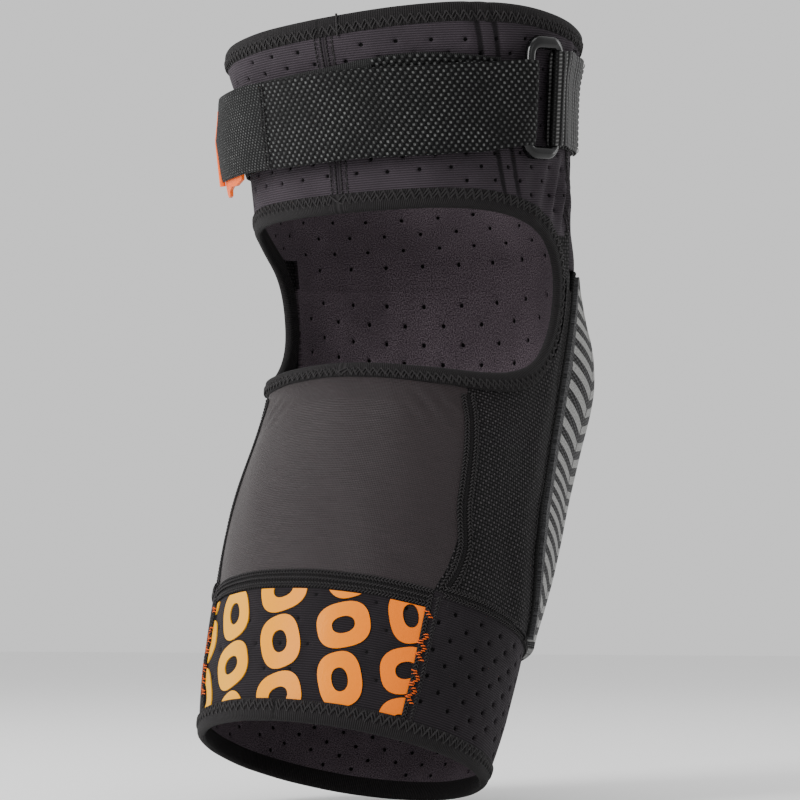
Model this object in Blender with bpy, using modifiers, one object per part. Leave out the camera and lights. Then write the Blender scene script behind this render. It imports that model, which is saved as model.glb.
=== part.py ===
"""Slip-on knee guard with one thigh strap, shaped on a slightly bent leg.

Lengths in this script are millimetres and angles are degrees; MM turns them into Blender's metres.
The origin is the centre of the knee, on its flexing axis (X). The pads face -Y, the calf +Y, and Z is up.
Every soft piece lies on the leg surface, whose coordinates are
    around: angle round the leg from the middle of the back, growing towards -X; 180 is the front,
    along:  distance along the leg's centre line from the knee, up the thigh being positive.
"""

import math

import bpy
from mathutils import Vector

MM = 0.001
COLLECTION = "knee_guard"

# ---- leg that the guard is shaped on ----
THIGH_LEAN = 6.0
SHIN_LEAN = 19.5
BEND_HALF = 45.0
TWIST = 4.0
HALF_WIDTHS = (
    (-195, 56.5), (-150, 62.5), (-90, 65.0), (-30, 60.3),
    (30, 65.3), (80, 68.0), (108, 70.3), (132, 75.5),
)
DEPTH_SHARE = 0.92
BONE_RISE = ((-150, 0), (-100, 2), (-50, 6), (-5, 10), (20, 7), (45, 0), (60, 0))
BONE_REACH = 70.0

# ---- sleeve ----
SLEEVE_THICK = 2.5
LYCRA_THICK = 1.2
LYCRA_OFF = 0.4
BAND_OFF = 0.2
LINER_THICK = 2.2
GAP = 0.35
SEAM_GAP = 0.25
TOP_LINE = 124.5
TOP_TILT = 4.0
TOP_SWELL = 5.0
TOP_SWELL_AT = 56.0
BINDING_WIDTH = 8.5
BINDING_THICK = 3.6
BINDING_SINK = 0.5
BACK_SEAM_AT = 1.0
CUFF_SIDE = 100.0
CUFF_CORNER = 46.0
FRONT_PANEL_FOOT = 33.5
CALF_SEAM = ((-120.5, 50.0), (-110, 53.0), (-95, 55.0), (-58, 54.5), (-44, 53.0), (-30, 50.0))
BAND_TOP = -125.0
BAND_HALF = 50.0
PANEL_FOOT = -120.5
CUFF_FOOT = -172.5
FOOT_LINE = -180.5
GRIP_TAPE = (102.0, 118.0)
GRIP_TAPE_THICK = 1.1

# ---- cut-out behind the knee: |angle / half turn|**SIDE_POWER + |level / half height|**TOP_POWER = 1 ----
WINDOW_HALF_TURN = 91.0
WINDOW_HALF_TALL = 40.5
WINDOW_MIDDLE = 18.0
WINDOW_SIDE_POWER = 3.9
WINDOW_TOP_POWER = 2.3
TURN_PER_MM = 0.86

# ---- pads, cover and piping ----
PAD_EDGE = 1.2
PAD_GAP = 0.9
PAD_FROM_PIPING = 4.0
KNEE_PAD_LEVELS = (-41.0, 29.0)
SHIN_PAD_LEVELS = (-116.0, -43.0)
PAD_RISE = (
    (-118, 2), (-102, 4), (-84, 6), (-67, 9), (-49, 13),
    (-30, 17), (-8, 20), (5, 17), (18, 9), (31, 3),
)
PAD_STEP = 10.0
COVER_LEVELS = (-118.0, 30.0)
COVER_THICK = 1.2
COVER_GAP = 0.8
COVER_FROM_PIPING = 2.1
COVER_SPREAD = 2.2
LINER_SPLIT = -30.0
GUSSET_FOOT = -24.0
PIPING_RADIUS = 1.4
PIPING_HEIGHT = 4.1
PIPING_LINE = (
    (-119, 104.5), (-108, 103.0), (-97, 99.0), (-84, 95.5), (-70, 95.5),
    (-56, 99.0), (-40, 103.0), (-20, 105.5), (24, 105.5),
)
PIPING_TOP = 32.5
PIPING_CORNER = 9.0
SIDE_STEP_FROM = -21.0
SIDE_STEP_TO = -8.5
SIDE_STEP = 2.3
LINER_UNDER_SIDE = 6.0

# ---- strap, ring and its tape ----
STRAP_LEVEL = 97.3
STRAP_HALF = 18.0
STRAP_LEVEL_AT_RING = 99.3
STRAP_HALF_AT_RING = 17.2
WEBBING_THICK = 1.7
STRAP_GAP = 0.6
FIRST_RUN_FROM = -124.0
FIRST_RUN_TO = 57.0
FIRST_RUN_LEVEL = 98.5
FIRST_RUN_ARCH = 4.0
PILE_FROM = -20.0
PILE_TO = 46.0
PILE_THICK = 0.9
TAIL_HEIGHT = 6.6
TAIL_LIFT = 7.0
TAIL_LIFT_FROM = 16.0
HOOK_END_FROM = -22.0
HOOK_END_TO = -62.0
HOOK_PATCH_TO = -38.0
HOOK_THICK = 1.0
TAB_FROM = -40.0
TAB_DROP = 7.0
TAB_THICK = 1.4
RING_AT = 74.0
RING_LEVEL = 101.6
RING_TALL = 49.0
RING_WIDE = 21.0
RING_BAR = 2.0
RING_CORNER = 2.1
RING_HEIGHT = 7.7
BAR_PLAY = 0.45
TAPE_THICK = 1.4
TAPE_HALF = 19.4
TAPE_END = 124.0
RAMP_TURN = 18.0

FABRIC_STEP = 10.0


def through(table, at):
    """Value at a place along a table of (place, value) pairs, on a smooth curve through them."""
    if at <= table[0][0]:
        return table[0][1]
    if at >= table[-1][0]:
        return table[-1][1]
    i = max(k for k in range(len(table) - 1) if table[k][0] <= at)
    (x0, y0), (x1, y1) = table[i], table[i + 1]

    def slope(k):
        if k == 0 or k == len(table) - 1:
            return 0.0
        before = (table[k][1] - table[k - 1][1]) / (table[k][0] - table[k - 1][0])
        after = (table[k + 1][1] - table[k][1]) / (table[k + 1][0] - table[k][0])
        return 0.0 if before * after <= 0 else 2 * before * after / (before + after)

    span = x1 - x0
    t = (at - x0) / span
    rise = y1 - y0
    m0, m1 = slope(i) * span, slope(i + 1) * span
    return y0 + t * (m0 + t * (3 * rise - 2 * m0 - m1 + t * (m0 + m1 - 2 * rise)))


def from_back(around):
    """Angle between a place round the leg and the middle of the back, from -180 to 180."""
    return (around + 180) % 360 - 180


def from_front(around):
    """Angle between a place round the leg and the middle of the front, from -180 to 180."""
    return from_back(around - 180)


def bend_angle(along):
    """Lean of the centre line towards +Y at a distance along it, in radians."""
    turn = math.radians(THIGH_LEAN + SHIN_LEAN) / (2 * BEND_HALF)
    middle = math.radians(THIGH_LEAN - SHIN_LEAN) / 2
    return middle + turn * max(-BEND_HALF, min(BEND_HALF, along))


def centre(along):
    """Point of the leg's centre line: straight, bent round the knee, and straight again."""
    turn = math.radians(THIGH_LEAN + SHIN_LEAN) / (2 * BEND_HALF)
    middle = bend_angle(0)
    lean = bend_angle(along)
    rest = along - max(-BEND_HALF, min(BEND_HALF, along))
    y = (math.cos(middle) - math.cos(lean)) / turn + rest * math.sin(lean)
    z = (math.sin(lean) - math.sin(middle)) / turn + rest * math.cos(lean)
    return Vector((0, y, z))


def leg(around, along, off=0.0):
    """Point of the leg surface, pushed out by off, in millimetres."""
    wide = through(HALF_WIDTHS, along)
    front = from_front(around)
    if abs(front) < BONE_REACH:
        off += through(BONE_RISE, along) * math.cos(math.radians(90 * front / BONE_REACH)) ** 2
    lean = bend_angle(along)
    back = Vector((0, math.cos(lean), -math.sin(lean)))
    a = math.radians(around + TWIST)
    point = centre(along) - Vector(((wide + off) * math.sin(a), 0, 0))
    return point + back * ((wide * DEPTH_SHARE + off) * math.cos(a))


def top_line(around):
    """Level of the sleeve's upper edge, under its binding."""
    bump = math.exp(-(((from_back(around) - TOP_SWELL_AT) / 45) ** 2))
    return TOP_LINE + TOP_TILT * math.cos(math.radians(around)) + TOP_SWELL * bump


def window(around, upper, margin=0.0):
    """Level of the cut-out's upper or lower edge, grown by a margin; its middle level beyond its ends."""
    turn = WINDOW_HALF_TURN + margin * TURN_PER_MM
    share = min(1.0, abs(from_back(around)) / turn)
    tall = (WINDOW_HALF_TALL + margin) * (1 - share**WINDOW_SIDE_POWER) ** (1 / WINDOW_TOP_POWER)
    return WINDOW_MIDDLE + (tall if upper else -tall)


def window_side(along, margin=0.0):
    """Angle from the middle of the back to the cut-out's side at a level, grown by a margin."""
    share = min(1.0, abs(along - WINDOW_MIDDLE) / (WINDOW_HALF_TALL + margin))
    turn = WINDOW_HALF_TURN + margin * TURN_PER_MM
    return turn * (1 - share**WINDOW_TOP_POWER) ** (1 / WINDOW_SIDE_POWER)


def piping_at(along):
    """Angle of the piping beside the pads' cover at a level; its upper corner is round."""
    above = max(0.0, min(1.0, (along - PIPING_TOP + PIPING_CORNER) / PIPING_CORNER))
    return through(PIPING_LINE, along) + PIPING_CORNER * TURN_PER_MM * (1 - math.sqrt(1 - above**2))


def pad_rise(around, along, spread_by=0.0):
    """Thickness of the pads at a place: crowned in the middle, thin at the edges."""
    half = 180 - piping_at(along) - PAD_FROM_PIPING + spread_by
    share = min(1.0, abs(from_front(around)) / half)
    return PAD_EDGE + (through(PAD_RISE, along) - PAD_EDGE) * (1 - share**3)


def spread(start, end, step):
    """Evenly spaced values from start to end, about a step apart."""
    count = max(1, round(abs(end - start) / step))
    return [start + (end - start) * i / count for i in range(count + 1)]


def material(name, colour, roughness, metallic=0.0):
    """Principled material of one sub-part."""
    made = bpy.data.materials.new(name)
    made.use_nodes = True
    shader = made.node_tree.nodes["Principled BSDF"]
    shader.inputs["Base Color"].default_value = (*colour, 1.0)
    shader.inputs["Roughness"].default_value = roughness
    shader.inputs["Metallic"].default_value = metallic
    return made


def mesh_object(name, points, faces, finish):
    """Object made from millimetre points, in the guard's collection."""
    mesh = bpy.data.meshes.new(name)
    mesh.from_pydata([p * MM for p in points], [], faces)
    mesh.update()
    mesh.shade_smooth()
    mesh.set_sharp_from_angle(angle=math.radians(40))
    made = bpy.data.objects.new(name, mesh)
    made.data.materials.append(material(name, *finish))
    bpy.data.collections[COLLECTION].objects.link(made)
    return made


def grid_faces(rows, columns, first=0, ring=False):
    """Faces of a grid of points kept row after row; ring joins its last column to its first."""
    faces = []
    for r in range(rows - 1):
        for c in range(columns if ring else columns - 1):
            a = first + r * columns + c
            b = first + r * columns + (c + 1) % columns
            faces.append((a, b, b + columns, a + columns))
    return faces


def sheet(name, rows, thick, finish, ring=False):
    """Shell of even thickness: rows of points lie on its inner side, and Solidify grows it outwards.

    Rows run up the leg and columns round it, so the faces look out of the leg.
    """
    columns = len(rows[0])
    faces = grid_faces(len(rows), columns, ring=ring)
    made = mesh_object(name, [p for row in rows for p in row], faces, finish)
    shell = made.modifiers.new("thickness", "SOLIDIFY")
    shell.thickness = thick * MM
    shell.offset = 1.0
    return made


def slab(name, inner, outer, finish):
    """Closed body between an inner and an outer grid of the same size, such as a moulded foam pad."""
    rows, columns = len(inner), len(inner[0])
    count = rows * columns
    faces = [face[::-1] for face in grid_faces(rows, columns)]
    faces += grid_faces(rows, columns, first=count)
    edge = list(range(columns))
    edge += [r * columns + columns - 1 for r in range(1, rows)]
    edge += [(rows - 1) * columns + c for c in range(columns - 2, -1, -1)]
    edge += [r * columns for r in range(rows - 2, 0, -1)]
    for a, b in zip(edge, edge[1:] + edge[:1]):
        faces.append((a, b, b + count, a + count))
    points = [p for grid in (inner, outer) for row in grid for p in row]
    made = mesh_object(name, points, faces, finish)
    return made


def panel(name, sides, ends, off, thick, finish, step=FABRIC_STEP):
    """Panel on the leg: sides(share up) gives its two angles, and ends(angle) its lower and upper level."""
    middle = sum(sides(0.5)) / 2
    low, high = ends(middle)
    level_shares = spread(0, 1, step / abs(high - low))
    angles = sides(0.5)
    angle_shares = spread(0, 1, step / abs(angles[1] - angles[0]))
    rows = []
    for up in level_shares:
        first, last = sides(up)
        row = []
        for across in angle_shares:
            around = first + (last - first) * across
            bottom, top = ends(around)
            row.append(leg(around, bottom + (top - bottom) * up, off))
        rows.append(row)
    return sheet(name, rows, thick, finish)


def edge_ring(name, line, width, finish, step=9.0):
    """Binding sewn round a hem: a closed band from line(angle) downwards or upwards by width."""
    angles = spread(0, 360, step)[:-1]
    rows = []
    for up in (0, 0.5, 1):
        rows.append([leg(around, line(around) + width * up, -BINDING_SINK) for around in angles])
    return sheet(name, rows, BINDING_THICK, finish, ring=True)


# ---- finishes: colour, roughness ----
NEOPRENE = ((0.040, 0.034, 0.040), 0.85)
PERFORATED = ((0.050, 0.043, 0.050), 0.85)
LYCRA = ((0.016, 0.014, 0.016), 0.55)
ELASTIC = ((0.012, 0.012, 0.013), 0.80)
WEBBING = ((0.010, 0.010, 0.011), 0.75)
BALLISTIC = ((0.018, 0.018, 0.019), 0.70)
COVER = ((0.110, 0.110, 0.110), 0.65)
FOAM = ((0.035, 0.035, 0.038), 0.90)
PLASTIC = ((0.008, 0.008, 0.008), 0.25)
ORANGE = ((0.850, 0.230, 0.040), 0.45)
SILICONE = ((0.060, 0.060, 0.065), 0.35)


def build_thigh():
    """Sleeve panels and bindings above the knee."""

    def cuff_ends(around):
        foot = window(around, True, BINDING_WIDTH + 2 * GAP)
        return max(foot, CUFF_CORNER + GAP), top_line(around) - GAP

    left = (-CUFF_SIDE, BACK_SEAM_AT - SEAM_GAP)
    right = (BACK_SEAM_AT + SEAM_GAP, CUFF_SIDE)
    panel("thigh_cuff_left", lambda up: left, cuff_ends, 0, SLEEVE_THICK, PERFORATED)
    panel("thigh_cuff_right", lambda up: right, cuff_ends, 0, SLEEVE_THICK, PERFORATED)
    front = (CUFF_SIDE + 2 * SEAM_GAP, 360 - CUFF_SIDE - 2 * SEAM_GAP)
    panel(
        "thigh_front_panel",
        lambda up: front,
        lambda around: (FRONT_PANEL_FOOT, top_line(around) - GAP),
        0,
        SLEEVE_THICK,
        NEOPRENE,
    )
    edge_ring("top_binding", top_line, BINDING_WIDTH, ELASTIC)
    height = -2 * GAP - GRIP_TAPE_THICK
    rows = [[leg(around, level, height) for around in spread(0, 350, 10)] for level in GRIP_TAPE]
    sheet("thigh_grip_tape", rows, GRIP_TAPE_THICK, SILICONE, ring=True)


def build_window_binding():
    """One elastic strip sewn round the cut-out behind the knee."""
    count = 64
    rows = []
    for margin in (BINDING_WIDTH, BINDING_WIDTH / 2, 0):
        row = []
        for i in range(count):
            a = 2 * math.pi * i / count
            c, s = math.cos(a), math.sin(a)
            across = math.copysign(abs(c) ** (2 / WINDOW_SIDE_POWER), c)
            up = math.copysign(abs(s) ** (2 / WINDOW_TOP_POWER), s)
            turn = across * (WINDOW_HALF_TURN + margin * TURN_PER_MM)
            rise = up * (WINDOW_HALF_TALL + margin)
            row.append(leg(turn, WINDOW_MIDDLE + rise, -BINDING_SINK))
        rows.append(row)
    sheet("cutout_binding", rows, BINDING_THICK, ELASTIC, ring=True)


def build_shin():
    """Sleeve panels, bands, liners and bindings at and below the knee."""

    def calf_sides(up):
        level = BAND_TOP + (window(0, False, BINDING_WIDTH) - BAND_TOP) * up
        half = through(CALF_SEAM, level) - SEAM_GAP
        return -half, half

    def calf_ends(around):
        return BAND_TOP + GAP, window(around, False, BINDING_WIDTH + 2 * GAP)

    panel("calf_panel", calf_sides, calf_ends, LYCRA_OFF, LYCRA_THICK, LYCRA)
    band = (-BAND_HALF, BAND_HALF)
    band_ends = (CUFF_FOOT + GAP, BAND_TOP)
    panel("calf_grip_band", lambda up: band, lambda around: band_ends, BAND_OFF, LYCRA_THICK, NEOPRENE)
    cuff = (BAND_HALF + 2 * SEAM_GAP, 360 - BAND_HALF - 2 * SEAM_GAP)
    cuff_ends = (CUFF_FOOT + GAP, PANEL_FOOT - GAP)
    panel("lower_cuff", lambda up: cuff, lambda around: cuff_ends, 0, SLEEVE_THICK, PERFORATED)
    edge_ring("bottom_binding", lambda around: FOOT_LINE, CUFF_FOOT - FOOT_LINE, ELASTIC)

    def liner_sides(level):
        first = max(window_side(level, BINDING_WIDTH + GAP), piping_at(level) - LINER_UNDER_SIDE) + 0.6
        return first, 360 - first

    for name, low, high in (
        ("shin_liner", PANEL_FOOT, LINER_SPLIT - GAP),
        ("knee_liner", LINER_SPLIT, FRONT_PANEL_FOOT - GAP),
    ):
        panel(
            name,
            lambda up, a=low, b=high: liner_sides(a + (b - a) * up),
            lambda around, a=low, b=high: (a, b),
            0,
            LINER_THICK,
            PERFORATED,
        )


def build_sides():
    """Woven side panels between the calf panel and the pads' piping."""
    window_foot = window(0, False, BINDING_WIDTH)
    panel_levels = spread(PANEL_FOOT, window_foot - 1.5, FABRIC_STEP)
    panel_levels += spread(window_foot - 0.5, GUSSET_FOOT - GAP, 2)
    gusset_levels = spread(GUSSET_FOOT, WINDOW_MIDDLE - 22, 2.5)
    gusset_levels += spread(WINDOW_MIDDLE - 15, CUFF_CORNER, 7)
    for part, levels in (("side_panel", panel_levels), ("side_gusset", gusset_levels)):
        for side, sign in (("left", -1), ("right", 1)):
            side_piece(f"{part}_{side}", levels, sign)


def side_piece(name, levels, sign):
    """Strip of a side panel on the left (-1) or right (1) of the leg, from the calf seam to the piping."""
    rows = []
    for along in levels:
        inner = max(through(CALF_SEAM, along), window_side(along, BINDING_WIDTH + 2 * GAP)) + 0.6
        outer = piping_at(along) - 1.9 if along < PIPING_TOP - PIPING_CORNER else CUFF_SIDE + SEAM_GAP
        row = []
        for across in spread(0, 1, 0.2):
            around = inner + (outer - inner) * across
            beside = around - piping_at(along)
            step = max(0.0, min(1.0, (beside - SIDE_STEP_FROM) / (SIDE_STEP_TO - SIDE_STEP_FROM)))
            row.append(leg(sign * around, along, LYCRA_OFF + SIDE_STEP * step * step * (3 - 2 * step)))
        rows.append(row if sign > 0 else row[::-1])
    sheet(name, rows, LYCRA_THICK, BALLISTIC)


def build_pads():
    """Foam pads over the kneecap and the shin, their woven cover, and the piping sewn round it."""
    base = LINER_THICK + PAD_GAP
    for name, (low, high) in (("knee_pad", KNEE_PAD_LEVELS), ("shin_pad", SHIN_PAD_LEVELS)):
        inner, outer = [], []
        for level in spread(low, high, PAD_STEP):
            half = 180 - piping_at(level) - PAD_FROM_PIPING
            angles = [180 + half * share for share in spread(-1, 1, PAD_STEP / 80)]
            inner.append([leg(around, level, base) for around in angles])
            outer.append([leg(around, level, base + pad_rise(around, level)) for around in angles])
        slab(name, inner, outer, FOAM)

    rows = []
    for level in spread(*COVER_LEVELS, PAD_STEP):
        half = 180 - piping_at(level) - COVER_FROM_PIPING
        angles = [180 + half * share for share in spread(-1, 1, PAD_STEP / 80)]
        rows.append([leg(a, level, base + COVER_GAP + pad_rise(a, level, COVER_SPREAD)) for a in angles])
    sheet("pad_cover", rows, COVER_THICK, COVER)

    side = [(piping_at(level), level) for level in spread(PANEL_FOOT + 2, PIPING_TOP - PIPING_CORNER, 11.0)]
    corner_levels = [PIPING_TOP - PIPING_CORNER * (1 - math.sin(math.radians(a))) for a in (30, 60, 90)]
    corner = [(piping_at(level), level) for level in corner_levels]
    across = [(around, PIPING_TOP) for around in spread(piping_at(PIPING_TOP), 180, 9.0)[1:]]
    half_route = side + corner + across
    route = half_route + [(360 - around, level) for around, level in half_route[-2::-1]]
    points = [leg(around, level, PIPING_HEIGHT) for around, level in route]
    tube("cover_piping", points, PIPING_RADIUS, ELASTIC)


def tube(name, points, radius, finish, cyclic=False, origin=Vector((0, 0, 0))):
    """Round cord or bar along a polyline, as a curve object with filled ends."""
    data = bpy.data.curves.new(name, "CURVE")
    data.dimensions = "3D"
    data.bevel_depth = radius * MM
    data.bevel_resolution = 2
    data.use_fill_caps = not cyclic
    spline = data.splines.new("POLY")
    spline.points.add(len(points) - 1)
    for knot, point in zip(spline.points, points):
        knot.co = (*((point - origin) * MM), 1.0)
    spline.use_cyclic_u = cyclic
    made = bpy.data.objects.new(name, data)
    made.location = origin * MM
    data.materials.append(material(name, *finish))
    bpy.data.collections[COLLECTION].objects.link(made)
    return made


def ring_frame():
    """Centre of the strap's ring and its directions: up the leg, round it (towards -X), out of it."""
    middle = leg(RING_AT, RING_LEVEL, RING_HEIGHT)
    ends = [leg(RING_AT, RING_LEVEL + side * RING_TALL / 3, RING_HEIGHT) for side in (-1, 1)]
    up = (ends[1] - ends[0]).normalized()
    sides = [leg(RING_AT + side * 4, RING_LEVEL, RING_HEIGHT) for side in (-1, 1)]
    round_leg = sides[1] - sides[0]
    out = round_leg.cross(up).normalized()
    return middle, up, up.cross(out), out


def bar_place(side):
    """Centre of the ring's bar on the calf side (-1) or on the front side (1)."""
    middle, up, round_leg, out = ring_frame()
    return middle + round_leg * side * (RING_WIDE / 2 - RING_BAR)


def bar_turn():
    """Angle round the leg between the ring's middle and either of its bars."""
    return math.degrees((RING_WIDE / 2 - RING_BAR) / (through(HALF_WIDTHS, RING_LEVEL) + RING_HEIGHT))


def bar_wrap(side, radius, start, end, half, shift=0.0):
    """Rows of points for webbing that goes round one bar, from a start to an end angle in degrees.

    The angle is 0 in the direction round the leg towards -X, and 90 out of the leg.
    """
    middle, up, round_leg, out = ring_frame()
    bar = bar_place(side)
    rows = []
    for degrees in spread(start, end, 30):
        a = math.radians(degrees)
        at = bar + (round_leg * math.cos(a) + out * math.sin(a)) * radius
        rows.append([at + up * (shift + half * across) for across in spread(-1, 1, 0.5)])
    return rows


def build_ring_and_tape():
    """Plastic ring and the webbing tape that holds it."""
    middle, up, round_leg, out = ring_frame()
    tall = RING_TALL / 2 - RING_BAR - RING_CORNER
    wide = RING_WIDE / 2 - RING_BAR - RING_CORNER
    route = []
    for corner, (u, w) in enumerate(((1, 1), (-1, 1), (-1, -1), (1, -1))):
        for degrees in spread(90 * corner, 90 * corner + 90, 22.5):
            a = math.radians(degrees)
            across = u * wide + RING_CORNER * math.cos(a)
            along = w * tall + RING_CORNER * math.sin(a)
            route.append(middle + round_leg * across + up * along)
    tube("strap_ring", route, RING_BAR, PLASTIC, cyclic=True, origin=bar_place(1))

    radius = RING_BAR + BAR_PLAY + TAPE_THICK / 2
    under = SLEEVE_THICK + STRAP_GAP + TAPE_THICK / 2
    over = under + TAPE_THICK + GAP
    first = RING_AT + bar_turn()
    plies = []
    for ply, at_bar in ((under, RING_HEIGHT - radius), (over, RING_HEIGHT + radius)):
        rows = []
        for around in spread(first + 5, TAPE_END, 5.0):
            share = max(0.0, 1 - (around - first) / RAMP_TURN)
            height = ply + (at_bar - ply) * share * share * (3 - 2 * share)
            levels = [RING_LEVEL + TAPE_HALF * across for across in spread(-1, 1, 0.5)]
            rows.append([leg(around, level, height) for level in levels])
        plies.append(rows)
    loop = bar_wrap(1, radius, -90, -270, TAPE_HALF)
    strip("ring_tape", plies[0][::-1] + loop + plies[1], TAPE_THICK, WEBBING)


def strip(name, rows, thick, finish):
    """Webbing of even thickness whose middle layer is the given rows of points."""
    made = sheet(name, rows, thick, finish)
    made.modifiers["thickness"].offset = 0.0
    return made


def tail_height(around, level):
    """Distance of the strap's returning run from the leg surface: it stands off towards its end."""
    share = max(0.0, (TAIL_LIFT_FROM - around) / (TAIL_LIFT_FROM - HOOK_END_TO))
    upper = max(0.0, (level - STRAP_LEVEL) / STRAP_HALF)
    return TAIL_HEIGHT + TAIL_LIFT * share**1.4 * (1 - 0.6 * upper)


def tail_rows(start, end, height, low=-1.0, high=1.0, step=5.0):
    """Rows of points across the strap's tail between two angles, a height above its inner side."""
    rows = []
    for around in spread(start, end, step):
        levels = [STRAP_LEVEL + STRAP_HALF * across for across in spread(low, high, 0.5)]
        rows.append([leg(around, level, tail_height(around, level) + height) for level in levels])
    return rows


def build_strap():
    """Strap: sewn to the front left, round the back, through the ring and back onto itself."""

    def first_level(around):
        return FIRST_RUN_LEVEL + FIRST_RUN_ARCH * math.exp(-(((around - 29) / 26) ** 2))

    height = SLEEVE_THICK + STRAP_GAP + WEBBING_THICK / 2
    rows = []
    for around in spread(FIRST_RUN_FROM, FIRST_RUN_TO, FABRIC_STEP):
        levels = [first_level(around) + STRAP_HALF * across for across in spread(-1, 1, 0.5)]
        rows.append([leg(around, level, height) for level in levels])
    strip("strap_first_run", rows, WEBBING_THICK, WEBBING)

    height = SLEEVE_THICK + STRAP_GAP + WEBBING_THICK + GAP + PILE_THICK / 2
    rows = []
    for around in spread(PILE_FROM, PILE_TO, FABRIC_STEP):
        levels = [first_level(around) + (STRAP_HALF - 1) * across for across in spread(-1, 1, 0.5)]
        rows.append([leg(around, level, height) for level in levels])
    strip("strap_pile", rows, PILE_THICK, WEBBING)

    radius = RING_BAR + BAR_PLAY + WEBBING_THICK / 2
    last = RING_AT - bar_turn()
    rows = tail_rows(HOOK_END_FROM + 0.4, last - RAMP_TURN - 2, WEBBING_THICK / 2)
    for around in spread(last - RAMP_TURN, last - 5, 4.0):
        share = 1 - (last - around) / RAMP_TURN
        level = STRAP_LEVEL + (STRAP_LEVEL_AT_RING - STRAP_LEVEL) * share
        half = STRAP_HALF + (STRAP_HALF_AT_RING - STRAP_HALF) * share
        levels = [level + half * across for across in spread(-1, 1, 0.5)]
        rise = (RING_HEIGHT + radius - TAIL_HEIGHT - WEBBING_THICK / 2) * share * share * (3 - 2 * share)
        rows.append([leg(around, level, TAIL_HEIGHT + WEBBING_THICK / 2 + rise) for level in levels])
    rows += bar_wrap(-1, radius, 90, -90, STRAP_HALF_AT_RING, STRAP_LEVEL_AT_RING - RING_LEVEL)
    strip("strap_return_run", rows, WEBBING_THICK, WEBBING)

    rows = tail_rows(HOOK_END_TO, HOOK_END_FROM, WEBBING_THICK / 2)
    strip("strap_hook_end", rows, WEBBING_THICK, ELASTIC)
    rows = tail_rows(HOOK_PATCH_TO, HOOK_END_FROM - 2, -GAP - HOOK_THICK / 2, -0.9, 0.9)
    strip("strap_hook_patch", rows, HOOK_THICK, WEBBING)
    low = -1 - TAB_DROP / STRAP_HALF
    rows = tail_rows(HOOK_END_TO - 1.0, TAB_FROM, -GAP - TAB_THICK / 2, low, 0.7)
    strip("pull_tab", rows, TAB_THICK, ORANGE)


def hold(axis_name, place, names):
    """Empty on a joint's axis, with the pieces that turn about it as its children."""
    axis = bpy.data.objects.new(axis_name, None)
    axis.location = place * MM
    bpy.data.collections[COLLECTION].objects.link(axis)
    bpy.context.view_layer.update()
    for name in names:
        piece = bpy.data.objects[name]
        piece.parent = axis
        piece.matrix_parent_inverse = axis.matrix_world.inverted()
    return axis


def join_bodies():
    """Tree of moving bodies: thigh on the knee's axis, ring on its tape, strap's tail on the ring."""
    thigh = ["thigh_cuff_left", "thigh_cuff_right", "thigh_front_panel", "top_binding", "thigh_grip_tape"]
    thigh += ["cutout_binding", "knee_liner", "side_gusset_left", "side_gusset_right"]
    thigh += ["strap_first_run", "strap_pile", "ring_tape"]
    knee_axis = hold("knee_axis", Vector((0, 0, 0)), thigh)
    ring_axis = hold("ring_axis", bar_place(1), ["strap_ring"])
    tail = ["strap_return_run", "strap_hook_end", "strap_hook_patch", "pull_tab"]
    tail_axis = hold("tail_axis", bar_place(-1), tail)
    for child, parent in ((ring_axis, knee_axis), (tail_axis, ring_axis)):
        child.parent = parent
        child.matrix_parent_inverse = parent.matrix_world.inverted()


def clear_scene():
    """Empties the scene and makes the guard's collection."""
    for old in list(bpy.data.objects):
        bpy.data.objects.remove(old)
    made = bpy.data.collections.new(COLLECTION)
    bpy.context.scene.collection.children.link(made)


clear_scene()
build_thigh()
build_window_binding()
build_shin()
build_sides()
build_pads()
build_ring_and_tape()
build_strap()
join_bodies()
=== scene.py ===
"""Looks of a slip-on knee guard: sewn neoprene sleeve, padded woven cover, and a thigh strap through a ring.

Lengths are millimetres and angles are degrees until a mesh is made. Every piece is cut as a flat pattern in
(around, along): the angle round the leg from the middle of the back, and the distance up it from the knee.
"""

import math

import bpy
import numpy as np
from mathutils import Matrix, Vector
from mathutils.geometry import delaunay_2d_cdt


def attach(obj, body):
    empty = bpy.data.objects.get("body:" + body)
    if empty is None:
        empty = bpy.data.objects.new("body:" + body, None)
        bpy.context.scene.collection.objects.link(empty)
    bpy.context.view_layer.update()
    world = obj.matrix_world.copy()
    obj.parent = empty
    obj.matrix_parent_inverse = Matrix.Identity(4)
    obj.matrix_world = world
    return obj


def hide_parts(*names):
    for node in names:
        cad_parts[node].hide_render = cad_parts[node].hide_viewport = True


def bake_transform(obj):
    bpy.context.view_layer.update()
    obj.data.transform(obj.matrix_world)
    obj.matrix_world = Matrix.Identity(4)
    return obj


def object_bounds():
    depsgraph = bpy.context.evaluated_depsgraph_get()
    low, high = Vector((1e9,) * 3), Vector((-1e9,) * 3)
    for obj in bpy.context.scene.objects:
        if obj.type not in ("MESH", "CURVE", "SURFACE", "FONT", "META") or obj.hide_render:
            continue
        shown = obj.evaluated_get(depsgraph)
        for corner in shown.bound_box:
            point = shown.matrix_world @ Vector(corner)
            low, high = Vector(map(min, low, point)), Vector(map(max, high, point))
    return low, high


MM = 0.001
TAU = 2 * math.pi

# ---- leg that the guard is shaped on ----
THIGH_LEAN, SHIN_LEAN, BEND_HALF, TWIST = 6.0, 19.5, 45.0, 4.0
HALF_WIDTHS = (
    (-195, 56.5), (-150, 62.5), (-90, 65.0), (-30, 60.3),
    (30, 65.3), (80, 68.0), (108, 70.3), (132, 75.5),
)
DEPTH_SHARE = 0.92
BONE_RISE = ((-150, 0), (-100, 2), (-50, 6), (-5, 10), (20, 7), (45, 0), (60, 0))
BONE_REACH = 70.0

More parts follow.
